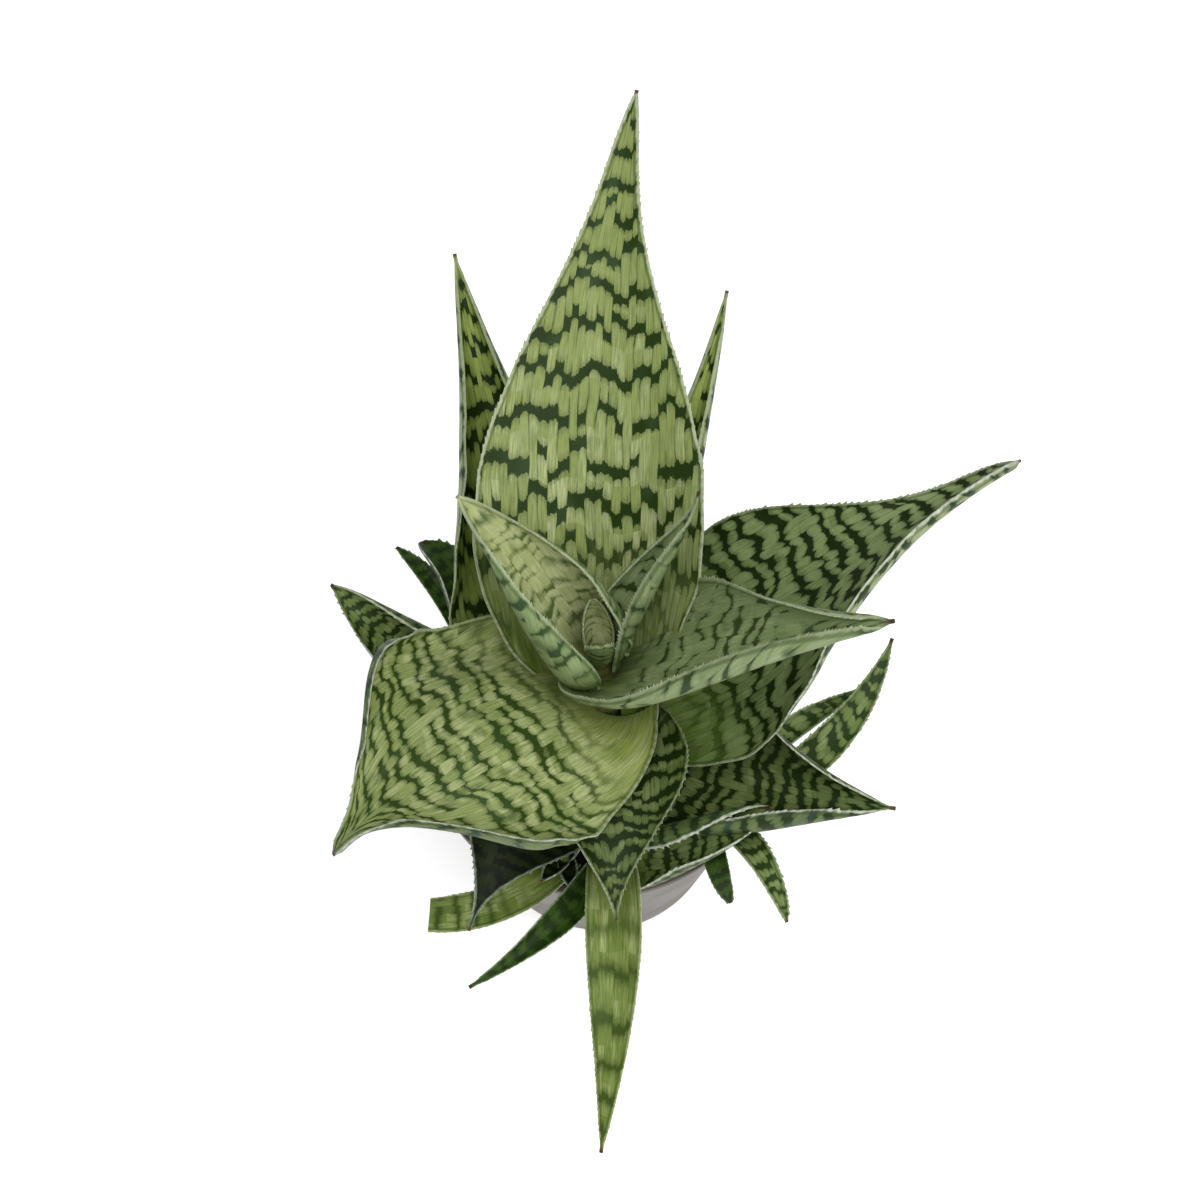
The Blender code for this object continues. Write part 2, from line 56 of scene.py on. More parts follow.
# %% Camera
TILT = math.radians(26)
lens = bpy.data.cameras.new("camera")
lens.lens = 49.5
lens.sensor_width = 36
camera = bpy.data.objects.new("camera", lens)
camera.location = (0, -0.18216, 0.54494)
camera.rotation_euler = (TILT, 0, 0)
bpy.context.scene.collection.objects.link(camera)
bpy.context.scene.camera = camera
print("camera looks down at", 90 - math.degrees(TILT), "degrees")

# %% [markdown]
# ## Helpers for meshes
# Almost every piece here is a sheet or a turned shape: a function of two parameters, worked out for
# a whole grid at once. Two helpers turn such grids into meshes. Modelling each leaf by hand would
# give thirty different tricks; one formula with a table of numbers gives thirty leaves of one kind.

# %% Mesh helpers
def grid_faces(rows, columns, first=0, wrap=False):
    """Quads of a grid of points, row by row. With wrap, the last column joins the first."""
    points = np.arange(rows * columns).reshape(rows, columns) + first
    if wrap:
        points = np.concatenate([points, points[:, :1]], 1)
    corners = (points[:-1, :-1], points[1:, :-1], points[1:, 1:], points[:-1, 1:])
    return np.stack(corners, -1).reshape(-1, 4)


def make_piece(name, points, faces, material, smooth_to=180):
    """A mesh object at the origin from an array of points and one of faces (all with as many corners).
    Edges that bend more than smooth_to degrees stay sharp."""
    mesh = bpy.data.meshes.new(name)
    corners = faces.shape[1]
    mesh.vertices.add(len(points))
    mesh.vertices.foreach_set("co", np.ascontiguousarray(points, np.float32).ravel())
    mesh.loops.add(faces.size)
    mesh.loops.foreach_set("vertex_index", faces.astype(np.int32).ravel())
    mesh.polygons.add(len(faces))
    mesh.polygons.foreach_set("loop_start", np.arange(0, faces.size, corners, dtype=np.int32))
    mesh.update(calc_edges=True)
    mesh.validate()
    mesh.shade_smooth()
    if smooth_to < 180:
        mesh.set_sharp_from_angle(angle=math.radians(smooth_to))
    mesh.materials.append(material)
    piece = bpy.data.objects.new(name, mesh)
    bpy.context.scene.collection.objects.link(piece)
    return piece


def put_attribute(piece, name, values):
    """Store one vector per point, for the material to read."""
    layer = piece.data.attributes.new(name, "FLOAT_VECTOR", "POINT")
    layer.data.foreach_set("vector", np.ascontiguousarray(values, np.float32).ravel())


def value_noise(x, y, size, seed):
    """Smooth bumps from 0 to 1: random heights on a square lattice of this size, joined by smooth steps."""
    table = np.random.default_rng(seed).random((256, 256))
    u, v = x / size, y / size
    column, row = np.floor(u).astype(int), np.floor(v).astype(int)
    a, b = u - column, v - row
    a, b = a * a * (3 - 2 * a), b * b * (3 - 2 * b)
    low = table[column % 256, row % 256] * (1 - a) + table[(column + 1) % 256, row % 256] * a
    high = table[column % 256, (row + 1) % 256] * (1 - a) + table[(column + 1) % 256, (row + 1) % 256] * a
    return low * (1 - b) + high * b


# %% [markdown]
# ## Helpers for materials
# Materials are built from nodes in code. A small class gives short names to the nodes used most,
# and colours are written as the 0 to 255 values that a paint program shows.

# %% Node helpers
def colour(red, green, blue):
    """A colour from 0 to 255 a channel, as the linear values that the renderer works in."""
    share = np.array([red, green, blue]) / 255
    linear = np.where(share <= 0.04045, share / 12.92, ((share + 0.055) / 1.055) ** 2.4)
    return (*linear.tolist(), 1.0)


class Wiring:
    """Short names for adding nodes to one node tree and joining them."""

    def __init__(self, tree):
        self.tree = tree

    def add(self, kind, inputs=(), out=0, **settings):
        """Add a node; each input gets a value or a link. Returns one of its outputs."""
        node = self.tree.nodes.new(kind)
        for name, setting in settings.items():
            setattr(node, name, setting)
        for key, value in dict(inputs).items():
            if isinstance(value, bpy.types.NodeSocket):
                self.tree.links.new(value, node.inputs[key])
            else:
                node.inputs[key].default_value = value
        return node.outputs[out]

    def math(self, operation, *values):
        return self.add("ShaderNodeMath", enumerate(values), operation=operation)

    def plus(self, a, b):
        return self.math("ADD", a, b)

    def minus(self, a, b):
        return self.math("SUBTRACT", a, b)

    def times(self, a, b):
        return self.math("MULTIPLY", a, b)

    def join(self, x, y, z=0.0):
        return self.add("ShaderNodeCombineXYZ", {0: x, 1: y, 2: z})

    def split(self, vector):
        node = self.add("ShaderNodeSeparateXYZ", {0: vector}).node
        return node.outputs[0], node.outputs[1], node.outputs[2]

    def noise(self, vector, scale=1.0, detail=1.0):
        """Smooth noise from 0 to 1."""
        return self.add("ShaderNodeTexNoise", {"Vector": vector, "Scale": scale, "Detail": detail})

    def swing(self, vector, amount, scale=1.0, detail=1.0):
        """Smooth noise from about -amount to amount."""
        return self.times(self.minus(self.noise(vector, scale, detail), 0.5), 2 * amount)

    def chance(self, *values):
        """A random number from 0 to 1 for each set of whole numbers."""
        return self.add("ShaderNodeTexWhiteNoise", {"Vector": self.join(*values)})

    def ramp(self, value, start, end):
        """0 at start and 1 at end, with soft corners."""
        inputs = {0: value, 1: start, 2: end}
        return self.add("ShaderNodeMapRange", inputs, interpolation_type="SMOOTHSTEP")

    def blend(self, share, a, b):
        """Colour a at share 0 and b at share 1."""
        return self.add("ShaderNodeMix", {0: share, 6: a, 7: b}, out=2, data_type="RGBA")

    def between(self, share, a, b):
        """Number a at share 0 and b at share 1."""
        return self.add("ShaderNodeMix", {0: share, 2: a, 3: b})


def new_group(name, inputs, outputs):
    """A node group with named inputs (a number, a colour or "vector") and outputs."""
    tree = bpy.data.node_groups.new(name, "ShaderNodeTree")
    for label, value in inputs.items():
        kind = "Vector" if value == "vector" else "Color" if isinstance(value, tuple) else "Float"
        socket = tree.interface.new_socket(name=label, in_out="INPUT", socket_type="NodeSocket" + kind)
        if kind != "Vector":
            socket.default_value = value
    for label, kind in outputs.items():
        tree.interface.new_socket(name=label, in_out="OUTPUT", socket_type="NodeSocket" + kind)
    return tree, tree.nodes.new("NodeGroupInput").outputs, tree.nodes.new("NodeGroupOutput").inputs


def new_material(name):
    """A material, the wiring of its node tree, and its Principled shader."""
    made = bpy.data.materials.new(name)
    made.use_nodes = True
    return made, Wiring(made.node_tree), made.node_tree.nodes["Principled BSDF"]


# %% [markdown]
# ## The leaf's pattern
# Each leaf is painted by its own growth: narrow pale fingers lie side by side along it, with rounded
# ends, and between one row of fingers and the next a ragged dark green band shows through. Towards
# the root the bands fade into yellow-green streaks, the margin is a pale waxy rim with a thin dark
# line inside it, and the tip dries brown. An image would freeze one leaf. A node group draws it for
# every leaf from two vectors that each mesh carries: where a point lies across, along and from the
# margin, counted in millimetres and in bands.

# %% The pattern as a node group
PATTERN_INPUTS = {
    "Place": "vector", "Share": "vector",
    "Finger Width": 2.8, "Dark": 0.26, "Spread": 0.1, "Vary": 0.16, "Skip": 0.04, "Wave": 0.5, "Stair": 0.4,
    "Step": 0.05, "Round": 0.16, "Soft": 0.06, "Halo": 0.35, "Ragged": 0.08, "Line": 0.1, "Slit": 0.15,
    "Fade From": 0.0, "Fade To": 0.35, "Fade Keep": 0.3, "Root To": 0.25, "Tip From": 0.97, "Tip Shade": 0.3,
    "Rim": 1.4, "Rim Line": 0.5, "Blotch": 0.3, "Streak": 0.16,
    "Pale": colour(180, 190, 140), "Pale Two": colour(160, 172, 118), "Dark Green": colour(48, 70, 38),
    "Slate": colour(64, 84, 72), "Root": colour(120, 140, 60), "Rim Colour": colour(200, 205, 190),
    "Tip": colour(90, 66, 40),
}


def leaf_pattern():
    """Colour and height of the skin. Fingers are columns of equal width. In each column a dark bit lies
    on every band, moved up or down in steps that neighbours share, so the bits join into chains. Its
    ends are hollowed by the fingers' round ends: round * (1 - sqrt(1 - across^2)) further in."""
    tree, take, give = new_group("leaf_pattern", PATTERN_INPUTS, {"Color": "Color", "Height": "Float"})
    w = Wiring(tree)
    x, band, margin = w.split(take["Place"])
    share, along, _ = w.split(take["Share"])

    veins = w.join(x, w.times(along, 0.08))
    drift = w.swing(w.join(w.times(x, 0.12), w.times(along, 0.05)), 0.7)
    finger = w.plus(w.math("DIVIDE", x, take["Finger Width"]), drift)
    column = w.math("FLOOR", finger)
    inside = w.minus(w.minus(finger, column), 0.5)

    wave = w.times(w.swing(w.join(w.times(x, 0.09), w.times(band, 0.25)), 1.4), take["Wave"])
    row = w.plus(band, wave)
    cell = w.math("FLOOR", row)
    jump = w.times(w.swing(w.join(w.times(column, 0.42), w.times(cell, 0.6), 3.0), 1.3), take["Stair"])
    jump = w.math("MINIMUM", w.math("MAXIMUM", w.math("SNAP", jump, take["Step"]), -0.3), 0.3)
    from_middle = w.math("ABSOLUTE", w.minus(w.minus(w.minus(row, cell), 0.5), jump))

    luck = w.minus(w.chance(column, cell, 1.0), 0.5)
    length = w.plus(take["Dark"], w.times(luck, w.times(take["Spread"], 2.0)))
    swell = w.swing(w.join(w.times(x, 0.13), w.times(along, 0.1), 5.0), 1.6)
    length = w.plus(length, w.times(swell, take["Vary"]))
    skipped = w.math("LESS_THAN", w.chance(column, cell, 6.0), take["Skip"])
    length = w.minus(length, w.times(skipped, 0.6))
    wide = w.times(w.math("MULTIPLY", inside, inside), 3.9)
    hollow = w.times(w.minus(1.0, w.math("SQRT", w.minus(1.0, wide))), take["Round"])
    ragged = w.times(w.swing(w.join(x, along), 1.0, 1.4, 2.0), take["Ragged"])
    beyond = w.plus(w.minus(w.minus(from_middle, w.times(length, 0.5)), hollow), ragged)
    bits = w.ramp(beyond, take["Soft"], w.times(take["Soft"], -1.0))
    halo = w.times(w.ramp(beyond, 0.2, 0.0), take["Halo"])

    to_joint = w.minus(0.5, w.math("ABSOLUTE", inside))
    joint = w.ramp(to_joint, 0.16, 0.02)
    seen = w.ramp(w.noise(w.join(w.times(x, 0.4), w.times(along, 0.06)), 1.0, 1.0), 0.4, 0.62)
    slit_here = w.math("GREATER_THAN", w.chance(column, cell, 2.0), 0.72)
    slit = w.times(w.times(slit_here, w.ramp(from_middle, 0.42, 0.3)), take["Slit"])
    lines = w.times(joint, w.plus(w.times(seen, take["Line"]), slit))
    dark_share = w.math("MAXIMUM", w.math("MAXIMUM", bits, lines), halo)

    reach = w.plus(share, w.swing(w.join(w.times(x, 0.35), w.times(along, 0.1)), 0.07))
    strength = w.between(w.ramp(reach, take["Fade From"], take["Fade To"]), take["Fade Keep"], 1.0)
    dark_share = w.times(dark_share, strength)

    streak = w.noise(veins, 2.2, 3.0)
    tone = w.plus(w.times(streak, 0.9), w.times(w.chance(column, cell, 4.0), 0.35))
    tone = w.plus(tone, w.times(share, take["Tip Shade"]))
    pale = w.blend(w.ramp(tone, 0.3, 0.95), take["Pale"], take["Pale Two"])
    cloud = w.noise(w.join(w.times(x, 0.1), w.times(along, 0.06)), 1.0, 1.0)
    dark = w.blend(w.ramp(cloud, 0.5, 0.7), take["Dark Green"], take["Slate"])
    skin = w.blend(dark_share, pale, dark)
    patch = w.times(w.ramp(w.noise(w.join(w.times(x, 0.16), w.times(along, 0.1), 7.0)), 0.6, 0.72), take["Blotch"])
    skin = w.blend(patch, skin, dark)
    root_streak = w.ramp(w.noise(w.join(w.times(x, 0.9), w.times(along, 0.05)), 1.0, 1.0), 0.4, 0.62)
    root = w.blend(w.times(root_streak, 0.6), take["Root"], pale)
    skin = w.blend(w.ramp(reach, 0.0, take["Root To"]), root, skin)
    shade = w.times(w.ramp(w.noise(w.join(w.times(x, 2.2), w.times(along, 0.14)), 1.0, 2.0), 0.4, 0.75), take["Streak"])
    skin = w.blend(shade, skin, take["Dark Green"])

    off_line = w.math("ABSOLUTE", w.minus(margin, w.plus(take["Rim"], 0.45)))
    skin = w.blend(w.times(w.ramp(off_line, 0.6, 0.15), take["Rim Line"]), skin, take["Dark Green"])
    rim_edge = w.plus(margin, w.swing(w.join(x, along), 0.7, 0.5, 2.0))
    rim_share = w.ramp(rim_edge, w.plus(take["Rim"], 0.25), w.minus(take["Rim"], 0.3))
    rim_tone = w.ramp(w.noise(w.join(margin, w.times(along, 0.5)), 1.1, 2.0), 0.35, 0.7)
    rim_colour = w.blend(w.times(rim_tone, 0.55), take["Rim Colour"], take["Pale Two"])
    skin = w.blend(rim_share, skin, rim_colour)
    tip_share = w.ramp(w.plus(share, w.swing(w.join(x, along), 0.006)), take["Tip From"], 0.996)
    w.tree.links.new(w.blend(tip_share, skin, take["Tip"]), give["Color"])
    relief = w.plus(w.times(streak, 0.5), w.times(dark_share, -0.45))
    w.tree.links.new(w.plus(relief, w.times(w.noise(w.join(x, along), 3.0, 2.0), 0.3)), give["Height"])
    return tree


LEAF_PATTERN = leaf_pattern()
print("pattern nodes:", len(LEAF_PATTERN.nodes))

# %% [markdown]
# ## Leaf skins
# Leaves of different age and place wear the same pattern with other numbers: long dark blocks on the
# tall leaf, close wavy lines on the broad one, grey-green wax on the young ones, deep green on the
# offsets, and painted shade, near-black, on the front-left leaf and the tiny offset, which lie in deep
# shade. The upper and the lower face differ too, so each skin places the group twice and a mask
# on the mesh picks the side. The skin is waxy, so its gloss is soft and breaks up in faint streaks.

# %% Leaf skins
def leaf_skin(name, upper, lower, rough=0.46):
    """A skin with the pattern's inputs for its upper face, and the changes for its lower face."""
    made, w, shader = new_material(name)
    place = w.add("ShaderNodeAttribute", out=1, attribute_name="leaf_place")
    share = w.add("ShaderNodeAttribute", out=1, attribute_name="leaf_share")
    side = w.split(share)[2]
    faces = []
    for values in (lower, {**lower, **upper}):
        inputs = {"Place": place, "Share": share, **values}
        faces.append(w.add("ShaderNodeGroup", (), 0, node_tree=LEAF_PATTERN).node)
        for key, value in inputs.items():
            if isinstance(value, bpy.types.NodeSocket):
                w.tree.links.new(value, faces[-1].inputs[key])
            else:
                faces[-1].inputs[key].default_value = value
    is_upper = w.ramp(side, 0.35, 0.65)
    skin = w.blend(is_upper, faces[0].outputs["Color"], faces[1].outputs["Color"])
    height = w.between(is_upper, faces[0].outputs["Height"], faces[1].outputs["Height"])
    w.tree.links.new(skin, shader.inputs["Base Color"])
    bump = w.add("ShaderNodeBump", {"Height": height, "Strength": 0.5, "Distance": 0.0002})
    w.tree.links.new(bump, shader.inputs["Normal"])
    where = w.add("ShaderNodeTexCoord", out=3)
    gloss = w.noise(where, 260.0, 3.0)
    w.tree.links.new(w.between(gloss, rough - 0.08, rough + 0.12), shader.inputs["Roughness"])
    shader.inputs["Specular IOR Level"].default_value = 0.15
    return made


def face(**values):
    """Pattern inputs, with words in place of the group's labels: pale_two is "Pale Two"."""
    labels = {key.lower().replace(" ", "_"): key for key in PATTERN_INPUTS}
    return {labels[key]: colour(*value) if isinstance(value, tuple) else value for key, value in values.items()}


SKINS = {
    "tall": leaf_skin(
        "tall_leaf_skin",
        face(finger_width=2.65, dark=0.25, spread=0.05, vary=0.08, skip=0.05, wave=0.35, stair=1.0, step=0.22,
             round=0.11, soft=0.035, halo=0.3, pale=(196, 204, 152), pale_two=(144, 158, 92),
             dark_green=(34, 54, 8), slate=(48, 70, 34), root=(106, 130, 52), fade_from=0.05, fade_to=0.3,
             fade_keep=0.75, root_to=0.24, tip_from=0.99, tip_shade=0.5, rim=0.55, rim_colour=(178, 186, 154),
             line=0.4, slit=0.5, blotch=0.15, streak=0.35),
        face(dark=0.2, finger_width=2.4, pale=(150, 164, 112), pale_two=(128, 146, 92), dark_green=(54, 78, 34),
             slate=(66, 90, 66), root=(126, 156, 66), root_to=0.4, rim=0.5, rim_colour=(172, 180, 150))),
    "back": leaf_skin(
        "back_leaf_skin",
        face(finger_width=2.5, dark=0.3, spread=0.1, wave=0.4, stair=1.0, step=0.2, round=0.14, soft=0.04,
             pale=(158, 174, 92), pale_two=(122, 142, 66), dark_green=(30, 48, 10), slate=(40, 58, 26),
             root=(66, 88, 28), fade_to=0.2, fade_keep=0.8, tip_from=0.99, tip_shade=-0.2, rim=0.4,
             rim_colour=(156, 166, 124), line=0.5),
        face(dark=0.24, finger_width=1.6, pale=(172, 182, 142), pale_two=(140, 154, 106), dark_green=(40, 58, 22),
             rim=0.4, rim_colour=(168, 178, 144), tip_shade=-0.2)),
    "broad": leaf_skin(
        "broad_leaf_skin",
        face(finger_width=2.9, dark=0.2, spread=0.08, vary=0.26, wave=0.6, stair=0.6, step=0.04, round=0.2,
             soft=0.06, halo=0.5, ragged=0.1, pale=(190, 198, 142), pale_two=(140, 154, 92),
             dark_green=(46, 66, 16), slate=(58, 80, 40), root=(150, 164, 80), fade_from=0.1, fade_to=0.36,
             fade_keep=0.55, root_to=0.26, rim=0.5, rim_colour=(158, 169, 132), line=0.1, slit=0.2, blotch=0.5,
             streak=0.45),
        face(dark=0.25, finger_width=1.8, pale=(134, 147, 104), pale_two=(112, 127, 84), dark_green=(50, 68, 34),
             root=(112, 132, 54), rim=0.3)),
    "long": leaf_skin(
        "long_leaf_skin",
        face(finger_width=3.0, dark=0.3, spread=0.08, vary=0.22, wave=0.9, stair=0.6, step=0.06, round=0.2,
             soft=0.06, ragged=0.1, pale=(140, 157, 104), pale_two=(98, 118, 64), dark_green=(26, 42, 6),
             slate=(38, 54, 22), root=(90, 120, 30), fade_from=0.0, fade_to=0.3, fade_keep=0.7, root_to=0.3,
             tip_shade=-0.35, rim=0.4, rim_colour=(150, 161, 126), blotch=0.25, streak=0.3),
        face(dark=0.36, finger_width=1.6, stair=0.8, step=0.2, pale=(160, 172, 128), pale_two=(132, 147, 100),
             dark_green=(44, 62, 28), rim=0.3, line=0.3, tip_shade=-0.3)),
    "low": leaf_skin(
        "low_leaf_skin",
        face(finger_width=2.7, dark=0.4, spread=0.1, vary=0.2, wave=0.8, stair=0.6, round=0.2, soft=0.07,
             ragged=0.12, pale=(132, 146, 92), pale_two=(92, 108, 58), dark_green=(26, 42, 6),
             slate=(34, 50, 20), root=(84, 106, 40), fade_to=0.15, fade_keep=0.6, rim=0.25,
             rim_colour=(126, 139, 98), slit=0.2, blotch=0.3, streak=0.3),
        face(dark=0.34, finger_width=1.8, pale=(122, 138, 92), pale_two=(98, 115, 68), dark_green=(40, 56, 26),
             rim=0.3)),
    # Painted shade: this skin's near-black greens stand in for the deep shade that the front-left leaf and the tiny
    # offset lie in.
    "shade": leaf_skin(
        "painted_shade_leaf_skin",
        face(finger_width=2.6, dark=0.4, wave=0.7, round=0.18, soft=0.09, ragged=0.12, pale=(42, 54, 18),
             pale_two=(30, 41, 11), dark_green=(8, 16, 2), slate=(16, 26, 6), root=(30, 44, 10), fade_to=0.15,
             fade_keep=0.6, rim=0.35, rim_colour=(128, 142, 122)),
        face(dark=0.34, pale=(84, 98, 56), pale_two=(62, 77, 40), dark_green=(26, 40, 14), rim=0.3)),
    "young": leaf_skin(
        "young_leaf_skin",
        face(finger_width=3.6, dark=0.14, spread=0.08, vary=0.45, wave=1.0, stair=0.5, round=0.22, soft=0.09,
             halo=0.3, ragged=0.14, pale=(170, 184, 134), pale_two=(130, 149, 98), dark_green=(54, 74, 32),
             slate=(60, 82, 52), root=(108, 128, 66), fade_to=0.2, fade_keep=0.7, root_to=0.25, rim=0.5,
             rim_colour=(160, 171, 136), tip_from=0.96, tip=(70, 58, 34), line=0.04, slit=0.1, blotch=0.35,
             streak=0.25),
        face(finger_width=3.0, dark=0.1, spread=0.2, vary=0.5, skip=0.2, stair=0.8, step=0.2, soft=0.1,
             pale=(168, 181, 136), pale_two=(134, 151, 104), dark_green=(54, 74, 36), slate=(56, 76, 52), rim=0.4,
             rim_colour=(160, 171, 136), blotch=0.7, tip_from=0.96, tip=(70, 58, 34))),
    # The heart skin: the young leaves' own pale cream, with its pale colours set brighter still as painted light, to
    # make up for the shade in the hollow of the inner left leaf's fold.
    "heart": leaf_skin(
        "heart_leaf_skin_with_painted_light",
        face(finger_width=3.4, dark=0.12, spread=0.1, vary=0.6, skip=0.15, wave=1.0, stair=0.8, step=0.2,
             round=0.2, soft=0.18, halo=0.5, ragged=0.16, pale=(206, 210, 164), pale_two=(170, 178, 122),
             dark_green=(88, 104, 50), slate=(86, 104, 64), root=(160, 168, 106), fade_to=0.2, fade_keep=0.6,
             root_to=0.2, rim=0.5, rim_colour=(178, 185, 148), tip_from=0.99, tip=(120, 126, 90), line=0.05,
             slit=0.1, blotch=0.45, streak=0.25),
        face(finger_width=3.0, dark=0.16, spread=0.2, vary=0.4, skip=0.2, stair=0.8, step=0.2, soft=0.1,
             pale=(172, 186, 138), pale_two=(134, 153, 102), dark_green=(60, 82, 40), slate=(62, 84, 58),
             rim=0.4, rim_colour=(168, 178, 144), blotch=0.5, tip_from=0.99, tip=(120, 126, 90))),
    "pale_offset": leaf_skin(
        "pale_offset_skin",
        face(finger_width=2.2, dark=0.26, spread=0.06, wave=0.3, stair=0.3, round=0.08, soft=0.12, halo=0.45,
             pale=(184, 194, 132), pale_two=(116, 136, 62), dark_green=(62, 82, 24), slate=(70, 90, 36),
             root=(122, 140, 48), fade_from=0.15, fade_to=0.5, fade_keep=0.2, root_to=0.35, rim=0.25,
             rim_colour=(158, 170, 116), tip_from=0.96, tip=(86, 60, 36), line=0.45, streak=0.4),
        face(dark=0.26, pale=(136, 152, 84), dark_green=(70, 90, 36), rim=0.25)),
    "offset": leaf_skin(
        "offset_skin",
        face(finger_width=2.0, dark=0.34, spread=0.15, vary=0.2, wave=0.6, stair=0.8, step=0.1, round=0.2,
             pale=(154, 169, 112), pale_two=(112, 131, 72), dark_green=(38, 58, 14), slate=(48, 68, 30),
             root=(92, 116, 42), fade_to=0.2, fade_keep=0.6, rim=0.3, rim_colour=(146, 160, 116),
             tip_from=0.95, tip=(64, 50, 34), line=0.25, blotch=0.3),
        face(dark=0.34, finger_width=1.6, pale=(124, 140, 90), pale_two=(98, 116, 66), dark_green=(46, 64, 28),
             rim=0.3)),
    "dark_offset": leaf_skin(
        "dark_offset_skin",
        face(finger_width=1.9, dark=0.45, spread=0.2, wave=0.4, soft=0.12, ragged=0.14, pale=(70, 96, 40),
             pale_two=(54, 80, 26), dark_green=(30, 50, 12), slate=(38, 58, 22), root=(54, 80, 22), rim=0.2,
             rim_colour=(92, 116, 62), rim_line=0.1, tip_from=0.96, tip=(70, 46, 24)),
        face(dark=0.4, pale=(72, 98, 44), pale_two=(60, 84, 34), dark_green=(36, 56, 18), rim=0.2)),
}
print("leaf skins:", len(SKINS))

# %% [markdown]
# ## The leaves' sizes
# A leaf grows from the stem as a bent, channelled blade. Its numbers say how: where it leaves the
# stem, how long and wide it is, how steeply it rises at its root, middle and tip, how it turns and
# rolls, how far its cross-section is folded, and how much further its margins curl over. They repeat
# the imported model's numbers, so each fine leaf lies exactly where its solid does. The others belong
# to the looks: its skin, the spacing of its bands, and its teeth.

# %% Leaf table
@dataclass(frozen=True)
class Leaf:
    """One leaf, in millimetres and degrees. Where a value changes along it, it is a list of values at
    equal steps from the root to the tip."""

    node: str
    azimuth: float
    height: float
    length: float
    width: float
    rise: tuple
    swing: float
    roll: tuple
    fold: tuple
    widest: float
    taper: float
    point: float
    skin: str
    bands: tuple = (6.0, 5.0, 4.0)
    tooth: float = 0.5
    tooth_pitch: float = 1.8
    bare: float = 0.04
    gather: float = 0.15
    bow: float = 0.0
    curl: tuple = (0, 0)
    thickness: float = 4.6
    start: float = 8.0
    base: float = 0.6
    stem: tuple = (0.0, 0.0)
    kept: float = 1.0


def offset_leaf(stem, *values, **changes):
    """A leaf of an offset: smaller, thinner, and low on a short stem."""
    settings = {"thickness": 2.4, "start": 3.0, "base": 0.7, "tooth": 0.6, "tooth_pitch": 1.7, "gather": 0.3}
    settings.update(changes)
    return Leaf(*values, stem=stem, **settings)


FRONT, RIGHT, LEFT, TINY = (3.0, -40.0), (32.5, -28.5), (-36.0, 12.0), (-10.0, -42.0)

